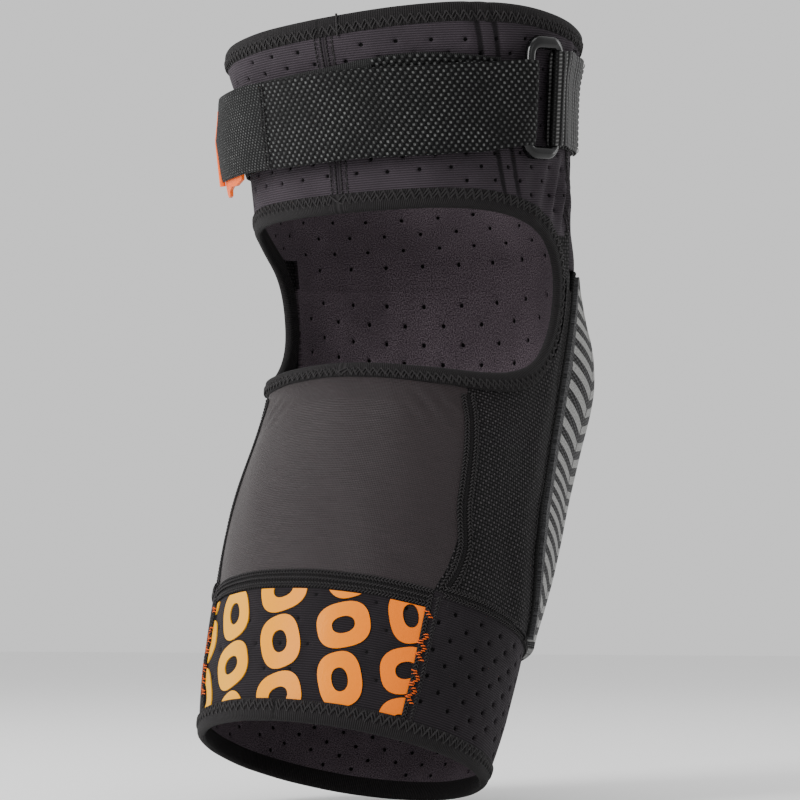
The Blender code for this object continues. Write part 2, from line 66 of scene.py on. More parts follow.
# ---- sleeve ----
SLEEVE, LYCRA, LINER = 2.5, 1.2, 2.2
TOP_LINE, TOP_TILT, TOP_SWELL, TOP_SWELL_AT = 124.5, 4.0, 5.0, 56.0
BINDING, BINDING_THICK, BINDING_SINK = 8.5, 3.6, 0.5
STITCH_PITCH, STITCH_HEIGHT = 3.4, 3.12
HOLE_SIDES = 10
BACK_SEAM = 1.0
CUFF_SIDE, CUFF_CORNER, FRONT_FOOT = 100.0, 46.0, 33.5
CALF_SEAM = ((-120.5, 50.0), (-110, 53.0), (-95, 55.0), (-58, 54.5), (-44, 53.0), (-30, 50.0))
BAND_TOP, BAND_HALF = -125.0, 50.0
PANEL_FOOT, CUFF_FOOT, FOOT_LINE = -120.5, -172.5, -180.5

# ---- cut-out ----
WINDOW_TURN, WINDOW_TALL, WINDOW_MIDDLE = 91.0, 40.5, 18.0
SIDE_POWER, TOP_POWER, TURN_PER_MM = 3.9, 2.3, 0.86

# ---- pads, cover and piping ----
PAD_EDGE, PAD_BASE, PAD_FROM_PIPING = 1.2, 3.1, 4.0
PAD_RISE = (
    (-118, 2), (-102, 4), (-84, 6), (-67, 9), (-49, 13),
    (-30, 17), (-8, 20), (5, 17), (18, 9), (31, 3),
)
COVER_FOOT, COVER_TOP = -119.5, 31.0
PIPING_LINE = (
    (-119, 104.5), (-108, 103.0), (-97, 99.0), (-84, 95.5), (-70, 95.5),
    (-56, 99.0), (-40, 103.0), (-20, 105.5), (24, 105.5),
)
PIPING_TOP, PIPING_CORNER, PIPING_RADIUS, PIPING_HEIGHT = 32.5, 9.0, 1.15, 3.9
SIDE_STEP_FROM, SIDE_STEP_TO, SIDE_STEP = -21.0, -8.5, 2.3

# ---- strap ----
STRAP_LEVEL, STRAP_HALF = 97.3, 18.0
STRAP_LEVEL_AT_RING, STRAP_HALF_AT_RING = 99.3, 17.2
WEBBING, STRAP_GAP = 1.7, 0.6
FIRST_RUN = (-124.0, 58.0)
FIRST_LEVEL, FIRST_ARCH = 98.5, 4.0
PILE = (16.0, 56.0)
TAIL_HEIGHT, TAIL_LIFT, TAIL_LIFT_FROM = 6.6, 7.0, 16.0
HOOK_FROM, HOOK_TO, HOOK_PATCH_TO, TAB_FROM, TAB_DROP = -22.0, -62.0, -38.0, -40.0, 7.0
RING_AT, RING_LEVEL, RING_TALL, RING_WIDE, RING_BAR, RING_HEIGHT = 74.0, 101.6, 49.0, 21.0, 2.0, 7.7
BAR_PLAY, TAPE, TAPE_HALF, TAPE_END, RAMP_TURN = 0.45, 1.3, 19.4, 124.0, 18.0

# ---- grip band's print ----
PRINT_SIZE, PRINT_HOLE, PRINT_STEP = (10.9, 9.1), (4.7, 3.4), 1.6

# ---- swelling of the cover ----
SWELL_FRAMES, SWELL_LIMIT = 20, 0.0035

# ---- view ----
VIEW_TURN, VIEW_RISE, VIEW_LENS, VIEW_PLACE = 212.71, -5.17, 115.1, (-0.00592, -0.01969, 1.1)

# Cloth of a pattern piece per degree round the leg.
CLOTH = 1.15

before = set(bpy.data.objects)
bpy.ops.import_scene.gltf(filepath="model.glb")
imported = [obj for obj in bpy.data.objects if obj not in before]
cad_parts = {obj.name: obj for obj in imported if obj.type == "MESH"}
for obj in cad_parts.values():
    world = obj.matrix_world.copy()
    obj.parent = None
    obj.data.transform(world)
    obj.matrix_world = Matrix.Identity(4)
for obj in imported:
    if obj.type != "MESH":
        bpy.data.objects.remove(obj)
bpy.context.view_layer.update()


# ---------------------------------------------------------------- leg surface


def through(table, at):
    """Value at a place along (place, value) pairs, on a smooth curve that never overshoots them."""
    if at <= table[0][0]:
        return table[0][1]
    if at >= table[-1][0]:
        return table[-1][1]
    i = max(k for k in range(len(table) - 1) if table[k][0] <= at)
    (x0, y0), (x1, y1) = table[i], table[i + 1]

    def slope(k):
        if k in (0, len(table) - 1):
            return 0.0
        before = (table[k][1] - table[k - 1][1]) / (table[k][0] - table[k - 1][0])
        after = (table[k + 1][1] - table[k][1]) / (table[k + 1][0] - table[k][0])
        return 0.0 if before * after <= 0 else 2 * before * after / (before + after)

    span = x1 - x0
    t = (at - x0) / span
    m0, m1 = slope(i) * span, slope(i + 1) * span
    return y0 + t * (m0 + t * (3 * (y1 - y0) - 2 * m0 - m1 + t * (m0 + m1 - 2 * (y1 - y0))))


LEVELS = np.linspace(-205, 145, 1401)


def curve(table):
    """The same smooth curve, ready to be read at many places at once."""
    values = np.array([through(table, level) for level in LEVELS])
    return lambda at: np.interp(at, LEVELS, values)


half_width, bone_rise, pad_rise_at, piping_line, calf_seam = (
    curve(table) for table in (HALF_WIDTHS, BONE_RISE, PAD_RISE, PIPING_LINE, CALF_SEAM)
)


def from_back(around):
    return (np.asarray(around, float) + 180) % 360 - 180


def leg(around, along, off=0.0):
    """Points of the leg surface, pushed out by off, as rows of x, y, z in millimetres."""
    around, along, off = np.broadcast_arrays(*(np.asarray(a, float) for a in (around, along, off)))
    front = around % 360 - 180
    rise = bone_rise(along) * np.cos(np.radians(90 * front / BONE_REACH)) ** 2
    off = off + np.where(abs(front) < BONE_REACH, rise, 0.0)
    turn = math.radians(THIGH_LEAN + SHIN_LEAN) / (2 * BEND_HALF)
    middle = math.radians(THIGH_LEAN - SHIN_LEAN) / 2
    inside = np.clip(along, -BEND_HALF, BEND_HALF)
    lean = middle + turn * inside
    rest = along - inside
    wide = half_width(along)
    a = np.radians(around + TWIST)
    depth = (wide * DEPTH_SHARE + off) * np.cos(a)
    y = (math.cos(middle) - np.cos(lean)) / turn + rest * np.sin(lean) + np.cos(lean) * depth
    z = (np.sin(lean) - math.sin(middle)) / turn + rest * np.cos(lean) - np.sin(lean) * depth
    return np.stack([-(wide + off) * np.sin(a), y, z], axis=-1)


def bump_at(turn, along, middle, level, wide, tall):
    """Soft bump on the sleeve, 1 at its middle."""
    return np.exp(-(((turn - middle) / wide) ** 2) - ((along - level) / tall) ** 2)


def ripple(around, along):
    """How far the sleeve stands off its even shape: slack, gathers at the ring and the calf, two tucks."""
    turn, along = from_back(around), np.asarray(along, float)
    x = turn * CLOTH
    slack = 0.16 * np.sin(x / 8.3 + 1.4 * np.sin(along / 17)) * np.sin(along / 12.1 + 0.6 * np.sin(x / 21))
    slack += 0.10 * np.sin(x / 4.1 + along / 9.7)
    lean = turn - 0.32 * (along - 66)
    folds = bump_at(turn, along, 98, 63, 20, 11) * (np.cos(TAU * (lean - 97) / 9.5) - 0.4)
    above = bump_at(turn, along, 96, 123, 16, 5) * np.cos(TAU * (turn - 95) / 8.0)
    side = 50 + (130 - along) * 0.163
    tuck = sum(np.exp(-(((turn - side - step) / 1.5) ** 2)) for step in (0, 6))
    tuck = tuck * np.clip((along - 56) / 8, 0, 1)
    arch = bump_at(turn, along, 30, 74, 40, 6) * np.cos(TAU * turn / 17)
    calf = bump_at(turn, along, 38, -42, 11, 8) * np.cos(TAU * (turn + 0.9 * along) / 9.0)
    calf += 0.7 * bump_at(turn, along, -36, -44, 12, 8) * np.cos(TAU * (turn - 0.9 * along) / 9.0)
    waist = bump_at(turn, along, 40, -108, 14, 12) * np.cos(TAU * (along + 0.3 * x) / 13)
    return slack + 1.9 * folds + 0.5 * above - 0.95 * tuck + 0.22 * arch + 0.6 * calf + 0.3 * waist


def skin(around, along, off=0.0):
    """Points of the sleeve: the leg surface with the sleeve's own slack."""
    return leg(around, along, off + ripple(around, along))


def top_line(around):
    bump = np.exp(-(((from_back(around) - TOP_SWELL_AT) / 45) ** 2))
    return TOP_LINE + TOP_TILT * np.cos(np.radians(around)) + TOP_SWELL * bump


def window(around, upper, margin=0.0):
    """Level of the cut-out's upper or lower edge, grown by a margin."""
    share = np.minimum(1.0, abs(from_back(around)) / (WINDOW_TURN + margin * TURN_PER_MM))
    tall = (WINDOW_TALL + margin) * (1 - share**SIDE_POWER) ** (1 / TOP_POWER)
    return WINDOW_MIDDLE + (tall if upper else -tall)


def window_side(along, margin=0.0):
    """Angle from the middle of the back to the cut-out's side at a level, grown by a margin."""
    share = np.minimum(1.0, abs(np.asarray(along, float) - WINDOW_MIDDLE) / (WINDOW_TALL + margin))
    return (WINDOW_TURN + margin * TURN_PER_MM) * (1 - share**TOP_POWER) ** (1 / SIDE_POWER)


def piping_at(along):
    above = np.clip((np.asarray(along, float) - PIPING_TOP + PIPING_CORNER) / PIPING_CORNER, 0, 1)
    return piping_line(along) + PIPING_CORNER * TURN_PER_MM * (1 - np.sqrt(1 - above**2))


def smooth(low, high, at):
    """Rise from 0 to 1 between two places."""
    share = np.clip((np.asarray(at, float) - low) / (high - low), 0, 1)
    return share * share * (3 - 2 * share)


def spread(start, end, step):
    """Evenly spaced values from start to end, about a step apart."""
    return np.linspace(start, end, max(1, round(abs(end - start) / step)) + 1)


def distances(points):
    """Distance along a line of points to each of them."""
    return np.r_[0, np.cumsum(np.linalg.norm(np.diff(points, axis=0), axis=1))]


def squared(angles, across_power, up_power):
    """Across and up on a unit circle, pushed out towards its corners by powers below 1."""
    c, s = np.cos(angles), np.sin(angles)
    return np.sign(c) * abs(c) ** across_power, np.sign(s) * abs(s) ** up_power


# ---------------------------------------------------------------- meshes


def mesh_piece(name, points, faces, look, cloth=None, sharp=50):
    """Mesh from millimetre points. cloth gives each point's place on the flat cloth, for its weave."""
    mesh = bpy.data.meshes.new(name)
    mesh.from_pydata((np.asarray(points) * MM).tolist(), [], [list(f) for f in faces])
    mesh.update()
    if cloth is not None:
        corner = np.zeros(len(mesh.loops), np.int32)
        mesh.loops.foreach_get("vertex_index", corner)
        mesh.uv_layers.new(name="cloth").data.foreach_set("uv", np.asarray(cloth, np.float32)[corner].ravel())
    mesh.shade_smooth()
    mesh.set_sharp_from_angle(angle=math.radians(sharp))
    mesh.materials.append(look)
    made = bpy.data.objects.new(name, mesh)
    bpy.context.scene.collection.objects.link(made)
    return made


def closed(triangles, count):
    """Faces of a closed sheet: its outer side, its inner side a count of points later, and its rim."""
    edges = dict.fromkeys((t[i], t[(i + 1) % 3]) for t in triangles.tolist() for i in range(3))
    rim = [(b, a, a + count, b + count) for a, b in edges if (b, a) not in edges]
    return triangles.tolist() + (triangles[:, ::-1] + count).tolist() + rim


def shell(name, flat, triangles, inner, outer, look, cloth=None, marks=None, lining=None):
    """Closed cloth between an inner and an outer side; marks are values for its look."""
    faces = closed(triangles, len(flat))
    if cloth is None:
        cloth = np.asarray(flat) * (CLOTH, 1)
    made = mesh_piece(name, np.concatenate([outer, inner]), faces, look, np.concatenate([cloth, cloth]))
    for mark, values in (marks or {}).items():
        kept = made.data.attributes.new(mark, "FLOAT", "POINT")
        kept.data.foreach_set("value", np.concatenate([values, values]).astype(np.float32))
    if lining is not None:
        made.data.materials.append(lining)
        sides = np.zeros(len(faces), np.int32)
        sides[len(triangles):2 * len(triangles)] = 1
        made.data.polygons.foreach_set("material_index", sides)
    return made


def grid_triangles(rows, columns):
    """Two triangles for each cell of a grid kept row after row."""
    a = (np.arange(rows - 1)[:, None] * columns + np.arange(columns - 1)).ravel()
    c = a + columns + 1
    return np.concatenate([np.stack([a, a + 1, c], 1), np.stack([a, c, c - 1], 1)])


def grid_shell(name, around, along, off, thick, look, cloth=None, shape=None):
    """Cloth over a grid of places on the sleeve; shape(around, along) adds to both sides."""
    a, v = around.ravel(), along.ravel()
    lift = 0 if shape is None else shape(a, v)
    flat = np.stack([a, v], 1)
    inner, outer = skin(a, v, off + lift), skin(a, v, off + thick + lift)
    return shell(name, flat, grid_triangles(*around.shape), inner, outer, look, cloth)


def inside(outline, points):
    """Which points lie inside a closed outline."""
    x, y = points[:, 0], points[:, 1]
    found = np.zeros(len(points), bool)
    for (x0, y0), (x1, y1) in zip(outline, np.roll(outline, -1, axis=0)):
        if y0 != y1:
            found ^= ((y0 > y) != (y1 > y)) & (x < (x1 - x0) * (y - y0) / (y1 - y0) + x0)
    return found


def within(loops, points):
    """Which points lie inside the first closed outline and outside the others."""
    found = inside(loops[0], points)
    for hole in loops[1:]:
        found &= ~inside(hole, points)
    return found


def away_from(line, points):
    """Distance from each of some points to the nearest point of a line."""
    return np.array([np.min(np.hypot(*(line - p).T)) for p in points])


def loop_links(first, count):
    return [(first + i, first + (i + 1) % count) for i in range(count)]


def triangulate(points, links):
    """Points and triangles of a flat area that keeps the given links between its points."""
    done = delaunay_2d_cdt([Vector(p) for p in points], links, [], 0, 1e-5)
    return np.array([tuple(p) for p in done[0]]), np.array([f for f in done[2] if len(f) == 3])


def even(outline, step):
    """A closed outline with a point about every step."""
    made = []
    for p, q in zip(outline, np.roll(outline, -1, axis=0)):
        count = max(1, round(np.linalg.norm(q - p) / step))
        made += [p + (q - p) * i / count for i in range(count)]
    return np.array(made)


def cut(outline, holes=(), hole_radius=0.8, step=3.0):
    """Flat cloth inside an outline of (around, along) with round holes: points, triangles, pits and rims."""
    edge = even(np.asarray(outline, float) * (CLOTH, 1), step)
    low, high = edge.min(0), edge.max(0)
    xs = np.arange(low[0] + step / 2, high[0], step)
    ys = np.arange(low[1] + step / 2, high[1], step * 0.87)
    grid = np.array([(x + (i % 2) * step / 2, y) for i, y in enumerate(ys) for x in xs])
    grid = grid[inside(edge, grid)]
    grid = grid[away_from(edge, grid) > step * 0.45]
    holes = np.array(list(holes), float).reshape(-1, 2) * (CLOTH, 1)
    for hole in holes:
        grid = grid[np.hypot(*(grid - hole).T) > hole_radius + step * 0.55]
    turns = np.linspace(0, TAU, HOLE_SIDES, endpoint=False)
    circle = np.array([(math.cos(a), math.sin(a)) for a in turns])
    rings = [hole + circle * r for r in (hole_radius, hole_radius * 0.78) for hole in holes]
    guards = [hole + circle * (hole_radius + 0.7) for hole in holes]
    links = loop_links(0, len(edge))
    for h in range(2 * len(holes)):
        links += loop_links(len(edge) + len(grid) + h * HOLE_SIDES, HOLE_SIDES)
    flat, triangles = triangulate(np.concatenate([edge, grid] + rings + guards), links)
    triangles = triangles[inside(edge, flat[triangles].mean(1))]
    used = np.unique(triangles)
    number = np.full(len(flat), -1)
    number[used] = np.arange(len(used))
    flat, triangles = flat[used], number[triangles]
    # pit marks the floors of the blind holes; the looks paint it near black as painted shade in place of the
    # open holes
    pit, rim = np.zeros(len(flat)), np.zeros(len(flat))
    for hole in holes:
        away = np.hypot(*(flat - hole).T)
        rim[away < hole_radius + 0.2] = 1.0
        pit[away < hole_radius * 0.9] = 1.0
    return flat / (CLOTH, 1), triangles, pit, rim - pit


def cloth_panel(name, outline, off, thick, look, holes=(), hole_radius=0.8, step=3.0, **more):
    """Pattern piece laid on the sleeve, with its punched holes' rims drawn in; shape= lifts both sides."""
    flat, triangles, pit, rim = cut(outline, holes, hole_radius, step)
    a, v = flat.T
    lift = more["shape"](a, v) if "shape" in more else 0
    outer = skin(a, v, off + lift + thick - 0.4 * rim - (thick / 2 - 0.15) * pit)
    inner = skin(a, v, off + lift + 0.3 * rim + (thick / 2 - 0.15) * pit)
    return shell(name, flat, triangles, inner, outer, look, marks={"pit": pit}, lining=more.get("lining"))


def punch(outline, turn, tall, margin, shift=0.0):
    """Staggered places for punched holes inside an outline, a margin from its edge."""
    outline = np.asarray(outline, float)
    low, high = outline.min(0), outline.max(0)
    places = []
    for row in range(math.floor(low[1] / tall), math.ceil(high[1] / tall) + 1):
        first = math.floor(low[0] / turn) * turn + shift + (row % 2) * turn / 2
        places += [(a, row * tall + 0.25 * math.sin(7 * a + row)) for a in np.arange(first, high[0], turn)]
    places = np.array(places)
    places = places[inside(outline, places)]
    edge = even(outline * (CLOTH, 1), 2.0)
    return places[away_from(edge, places * (CLOTH, 1)) > margin]


def sweep(rings, closed_ring=True, closed_path=False, caps=True):
    """Faces over rings of points, each ring the same size."""
    count, size = len(rings), len(rings[0])
    faces = []
    for r in range(count if closed_path else count - 1):
        for c in range(size if closed_ring else size - 1):
            a, b = r * size + c, r * size + (c + 1) % size
            n = ((r + 1) % count) * size
            faces.append((a, b, n + (c + 1) % size, n + c))
    if caps and not closed_path:
        faces.append(tuple(range(size))[::-1])
        faces.append(tuple((count - 1) * size + c for c in range(size)))
    return faces


def tube_rings(path, out, radius, sides=6, flat=1.0):
    """Rings round a line of points; out is the direction that its flat side faces."""
    path, out = np.asarray(path), np.asarray(out)
    ahead = np.gradient(path, axis=0)
    ahead /= np.linalg.norm(ahead, axis=1)[:, None]
    side = np.cross(out, ahead)
    side /= np.linalg.norm(side, axis=1)[:, None]
    up = np.cross(ahead, side)
    a = np.linspace(0, TAU, sides, endpoint=False)
    ring = side[:, None] * np.cos(a)[None, :, None] + flat * up[:, None] * np.sin(a)[None, :, None]
    radius = np.broadcast_to(radius, len(path))
    return path[:, None] + ring * radius[:, None, None]


def cord(name, path, out, radius, look, far, pitch, flat=1.0):
    """One cord along a line of points. far and pitch give its flat cloth along it and round it."""
    rings = tube_rings(path, out, radius, 10, flat)
    cloth = np.stack([np.repeat(far, 10), np.tile(np.arange(10) * pitch, len(path))], 1)
    return mesh_piece(name, rings.reshape(-1, 3), sweep(rings), look, cloth, 80)


def out_of_leg(around, along):
    step = leg(around, along, 1.0) - leg(around, along, 0.0)
    return step / np.linalg.norm(step, axis=-1)[..., None]


def threads(name, strokes, look, radius=0.3, place=skin, sides=5, flat=0.8):
    """Many short threads as one mesh. A stroke is rows of (around, along, off)."""
    points, faces, cloth = [], [], []
    first = 0
    for stroke in strokes:
        a, v, off = np.asarray(stroke, float).T
        rings = tube_rings(place(a, v, off), out_of_leg(a, v), radius, sides, flat)
        points.append(rings.reshape(-1, 3))
        faces += [tuple(i + first for i in f) for f in sweep(rings)]
        far = distances(np.stack([a * CLOTH, v], 1))
        cloth.append(np.stack([np.repeat(far, sides), np.tile(np.arange(sides) * 0.3, len(a))], 1))
        first += rings.shape[0] * sides
    return mesh_piece(name, np.concatenate(points), faces, look, np.concatenate(cloth), sharp=80)


def line_points(line, step):
    """Evenly spaced (around, along) places along a line of them, with the line's direction there."""
    line = np.asarray(line, float) * (CLOTH, 1)
    far = distances(line)
    at = np.linspace(0, far[-1], max(2, int(far[-1] / step) + 1))
    places = np.stack([np.interp(at, far, line[:, 0]), np.interp(at, far, line[:, 1])], 1)
    ahead = np.gradient(places, axis=0)
    ahead /= np.hypot(*ahead.T)[:, None]
    return places, ahead


def stitch_row(line, pitch, length, slant, side, off, arch=0.35):
    """Strokes of one row of stitches beside a line: each leans by slant and arches out of the cloth."""
    places, ahead = line_points(line, pitch)
    strokes = []
    c, s = math.cos(math.radians(slant)), math.sin(math.radians(slant))
    for place, (ax, ay) in zip(places, ahead):
        across = np.array((-ay, ax))
        way = np.array((ax, ay)) * c + across * s
        middle = place + across * side
        stroke = []
        for t, up in ((-0.5, -0.25), (-0.25, 0.7), (0.25, 0.7), (0.5, -0.25)):
            x, y = middle + way * length * t
            stroke.append((x / CLOTH, y, off + arch * up))
        strokes.append(stroke)
    return strokes


BRAID = ((-0.36, 1.5, 1.7, 34), (-0.21, 1.5, 1.7, -34), (0.21, 1.5, 1.7, 34), (0.36, 1.5, 1.7, -34))
TRIPLE = (
    (-0.37, 1.4, 1.7, 40), (-0.24, 1.4, 1.5, -30), (0.0, 1.4, 1.7, 30),
    (0.24, 1.4, 1.5, -30), (0.37, 1.4, 1.7, 40),
)
LADDER = ((-0.39, 1.7, 1.3, 12), (-0.13, 1.7, 1.3, -12), (0.13, 1.7, 1.3, 12), (0.39, 1.7, 1.3, -12))


def flatlock(name, line, off, looks, wide=7.4, rows=BRAID, base="seam"):
    """Flatlock seam: a raised strip with rows of stitches, each (place across, pitch, length, slant)."""
    places, ahead = line_points(line, 2.0)
    across = np.stack([-ahead[:, 1], ahead[:, 0]], 1)
    shares = np.linspace(-0.5, 0.5, 9)
    grid = places[:, None] + across[:, None] * (shares[None, :, None] * wide)
    around, along = grid[..., 0] / CLOTH, grid[..., 1]
    count, columns = around.shape
    height = off + 0.42 + 0.22 * np.cos(shares * 3 * TAU) - 2.0 * shares**2
    top = skin(around, along, np.broadcast_to(height, around.shape)).reshape(-1, 3)
    foot = skin(around, along, np.full(around.shape, off - 0.5)).reshape(-1, 3)
    cloth = np.stack([np.repeat(distances(places), columns), np.tile(shares * wide, count)], 1)
    triangles = grid_triangles(count, columns)[:, ::-1]
    strip = shell(f"{name}_tape", cloth, triangles, foot, top, looks[base], cloth)
    strokes = []
    for place, pitch, length, slant in rows:
        strokes += stitch_row(line, pitch, length, slant, place * wide, off + 0.62 - 2.0 * place**2, 0.36)
    return [strip, threads(f"{name}_stitches", strokes, looks["dark_thread"], 0.3)]


def coverstitch(name, edge, look):
    """Zigzag stitching along a binding. edge(share of the way round, distance in) gives places."""
    strokes = []
    zigs = int(edge(0.0, 0.0)[2] / STITCH_PITCH)
    for low, high, lag, height in ((3.6, 6.9, 0.0, 0.1), (4.6, 7.9, 0.5, 0.0)):
        stroke = []
        for i in range(zigs * 2 + 1):
            a, v, _ = edge(((i + lag) / (zigs * 2)) % 1.0, low if i % 2 else high)
            stroke.append(np.array((a, v, STITCH_HEIGHT + height)))
        strokes += [(p, q) for p, q in zip(stroke, stroke[1:]) if abs(p[0] - q[0]) < 30]
    bend = ((0.0, -0.3), (0.25, 0.2), (0.75, 0.2), (1.0, -0.3))
    bent = [[p * (1 - t) + q * t + (0, 0, up) for t, up in bend] for p, q in strokes]
    return threads(name, bent, look, 0.34)


def binding(name, edge, look):
    """Elastic tape folded over an edge. edge(share of the way round, distance in) gives a place, a length."""
    length = edge(0.0, 0.0)[2]
    stations = int(length / 1.3)
    half = BINDING_THICK / 2
    fold = [(2.2 * (1 - math.cos(t)), half * math.sin(t)) for t in np.linspace(0, math.pi / 2, 6)[1:]]
    flank = ((3.6, 0.05), (5.2, -0.12), (6.6, -0.05), (7.7, -0.25), (8.5, -0.9))
    outer = fold + [(t, half + rise) for t, rise in flank]
    loop = outer + [(t, -h) for t, h in outer[::-1]] + [(0.0, 0.0)]
    rings, cloth = [], []
    for i in range(stations):
        share = i / stations
        a, v = np.array([edge(share, t)[:2] for t, _ in loop], float).T
        pucker = 0.13 * math.sin(TAU * share * int(length / STITCH_PITCH))
        off = [h + half - BINDING_SINK + (pucker if 3 < t < 7 and h > 0 else 0) for t, h in loop]
        rings.append(skin(a, v, np.array(off)))
        cloth += [(share * length, c * 0.9) for c in range(len(loop))]
    faces = [f[::-1] for f in sweep(rings, closed_path=True, caps=False)]
    return mesh_piece(name, np.concatenate(rings), faces, look, cloth, sharp=70)


def bind(name, edge, looks):
    """Binding over an edge, and its zigzag stitching."""
    tape = binding(f"{name}_tape", edge, looks["elastic"])
    return tape, coverstitch(f"{name}_stitches", edge, looks["dark_thread"])


def ribbon(name, rows, look):
    """Webbing from rows of (inner points, outer points) across it."""
    rings = [np.concatenate([outer, inner[::-1]]) for inner, outer in rows]
    middle = np.array([(inner.mean(0) + outer.mean(0)) / 2 for inner, outer in rows])
    cloth = []
    for (_, outer), x in zip(rows, distances(middle)):
        across = distances(outer)
        across = across - across[-1] / 2
        cloth += [(x, y) for y in across] + [(x, y + 0.4) for y in across[::-1]]
    return mesh_piece(name, np.concatenate(rings), sweep(rings), look, cloth)


# Places across a webbing, and half its thickness there as a share of the whole.
ACROSS = np.sin(np.linspace(-1, 1, 15) * math.pi / 2)
TAPER = np.sqrt(np.clip(1 - abs(ACROSS) ** 8, 0.12, 1)) / 2


def flat_row(around, level, half, height, thick):
    """One row of webbing across the leg: thinner at its selvedges."""
    levels = level + half * ACROSS
    return leg(around, levels, height - TAPER * thick), leg(around, levels, height + TAPER * thick)


# ---------------------------------------------------------------- materials


class Look:
    """A procedural material under construction. Patterns read the cloth's own place, in millimetres."""

    def __init__(self, name, roughness, sheen=0.0, specular=0.5, sheen_colour=(1, 1, 1)):
        self.material = bpy.data.materials.new(name)
        self.material.use_nodes = True
        self.tree = self.material.node_tree
        self.shader = self.tree.nodes["Principled BSDF"]
        self.shader.inputs["Roughness"].default_value = roughness
        self.shader.inputs["Sheen Weight"].default_value = sheen
        self.shader.inputs["Sheen Roughness"].default_value = 0.45
        self.shader.inputs["Sheen Tint"].default_value = (*sheen_colour, 1)
        self.shader.inputs["Specular IOR Level"].default_value = specular
        place = self.tree.nodes.new("ShaderNodeUVMap")
        place.uv_map = "cloth"
        split = self.tree.nodes.new("ShaderNodeSeparateXYZ")
        self.tree.links.new(place.outputs[0], split.inputs[0])
        self.place, self.x, self.y = place.outputs[0], split.outputs[0], split.outputs[1]

    def attribute(self, name):
        node = self.tree.nodes.new("ShaderNodeAttribute")
        node.attribute_name = name
        return node.outputs["Fac"]

    def math(self, kind, *values):
        node = self.tree.nodes.new("ShaderNodeMath")
        node.operation = kind
        for socket, value in zip(node.inputs, values):
            if isinstance(value, (int, float)):
                socket.default_value = value
            else:
                self.tree.links.new(value, socket)
        return node.outputs[0]

    def plus(self, *values):
        return self.math("ADD", *values)

    def times(self, *values):
        return self.math("MULTIPLY", *values)

    def wave(self, at, period, shift=0.0):
        """Sine of a distance, from -1 to 1."""
        return self.math("SINE", self.math("MULTIPLY_ADD", at, TAU / period, shift))

    def noise(self, scale, detail=2.0, stretch=(1, 1)):
        """Noise of about 0.5, scale features per millimetre."""
        shape = self.tree.nodes.new("ShaderNodeMapping")
        shape.inputs["Scale"].default_value = (stretch[0], stretch[1], 1)
        self.tree.links.new(self.place, shape.inputs["Vector"])
        node = self.tree.nodes.new("ShaderNodeTexNoise")
        node.inputs["Scale"].default_value = scale
        node.inputs["Detail"].default_value = detail
        self.tree.links.new(shape.outputs[0], node.inputs["Vector"])
        return node.outputs["Fac"]

    def ease(self, value, low, high, to_low=0.0, to_high=1.0):
        node = self.tree.nodes.new("ShaderNodeMapRange")
        node.interpolation_type = "SMOOTHSTEP"
        for socket, number in zip(node.inputs[1:5], (low, high, to_low, to_high)):
            socket.default_value = number
        self.tree.links.new(value, node.inputs[0])
        return node.outputs[0]

    def mix(self, share, first, second):
        """Colour between two colours or colour sockets."""
        node = self.tree.nodes.new("ShaderNodeMix")
        node.data_type = "RGBA"
        self.tree.links.new(share, node.inputs["Factor"])
        for socket, colour in ((node.inputs[6], first), (node.inputs[7], second)):
            if isinstance(colour, tuple):
                socket.default_value = (*colour, 1)
            else:
                self.tree.links.new(colour, socket)
        return node.outputs[2]

    def done(self, colour, height=None, depth=0.2, roughness=None):
        self.tree.links.new(colour, self.shader.inputs["Base Color"])
        if roughness is not None:
            self.tree.links.new(roughness, self.shader.inputs["Roughness"])
        if height is not None:
            bump = self.tree.nodes.new("ShaderNodeBump")
            bump.inputs["Distance"].default_value = depth * MM
            bump.inputs["Strength"].default_value = 1.0
            self.tree.links.new(height, bump.inputs["Height"])
            self.tree.links.new(bump.outputs[0], self.shader.inputs["Normal"])
        return self.material


def ribbed_neoprene(name, low, high, period=0.95, tucks=False):
    """Knit face with fine ribs parallel to the hem, and two sewn tucks down one side: their grooves are a
    bump with painted shade darkening them.
    """
    look = Look(name, 0.85, sheen=0.05, specular=0.12, sheen_colour=(0.8, 0.7, 0.8))
    ribs = look.wave(look.y, period)
    grain = look.noise(1.6, 3.0, (1.0, 2.2))
    broad = look.noise(0.05, 2.0)
    share = look.plus(look.ease(ribs, -1, 1, 0, 0.55), look.times(grain, 0.4))
    share = look.times(share, look.ease(broad, 0.3, 0.7, 0.8, 1.15))
    height = look.plus(look.times(ribs, 0.5), grain)
    colour = look.mix(share, low, high)
    if tucks:
        line = look.math("SUBTRACT", look.x, look.math("MULTIPLY_ADD", look.y, -0.187, 81.9))
        pair = line
        for _ in range(2):
            pair = look.math("ABSOLUTE", look.math("SUBTRACT", pair, 3.5))
        groove_and_painted_shade = look.times(look.ease(pair, 0.5, 1.7, 0.85, 0.0), look.ease(look.y, 56, 66))
        # painted shade: the tucks' grooves are darkened towards black, standing in for the shade in the
        # creases
        colour = look.mix(groove_and_painted_shade, colour, (0.003, 0.0027, 0.003))
        height = look.math("SUBTRACT", height, look.times(groove_and_painted_shade, 2.5))
    # painted shade: the holes' pit floors are painted near black
    colour = look.mix(look.attribute("pit"), colour, (0.0015, 0.0013, 0.0015))
    return look.done(colour, height, 0.16)


def brushed_knit(name, low, high):
    """Brushed inner face: short fuzz with no direction."""
    look = Look(name, 0.95, sheen=0.08, specular=0.08, sheen_colour=(0.8, 0.72, 0.8))
    grain = look.noise(2.1, 4.0)
    broad = look.noise(0.045, 3.0)
    share = look.times(look.ease(grain, 0.33, 0.68), look.ease(broad, 0.3, 0.7, 0.75, 1.1))
    # painted shade: the holes' pit floors are painted near black
    colour = look.mix(look.attribute("pit"), look.mix(share, low, high), (0.0015, 0.0013, 0.0015))
    return look.done(colour, grain, 0.25)


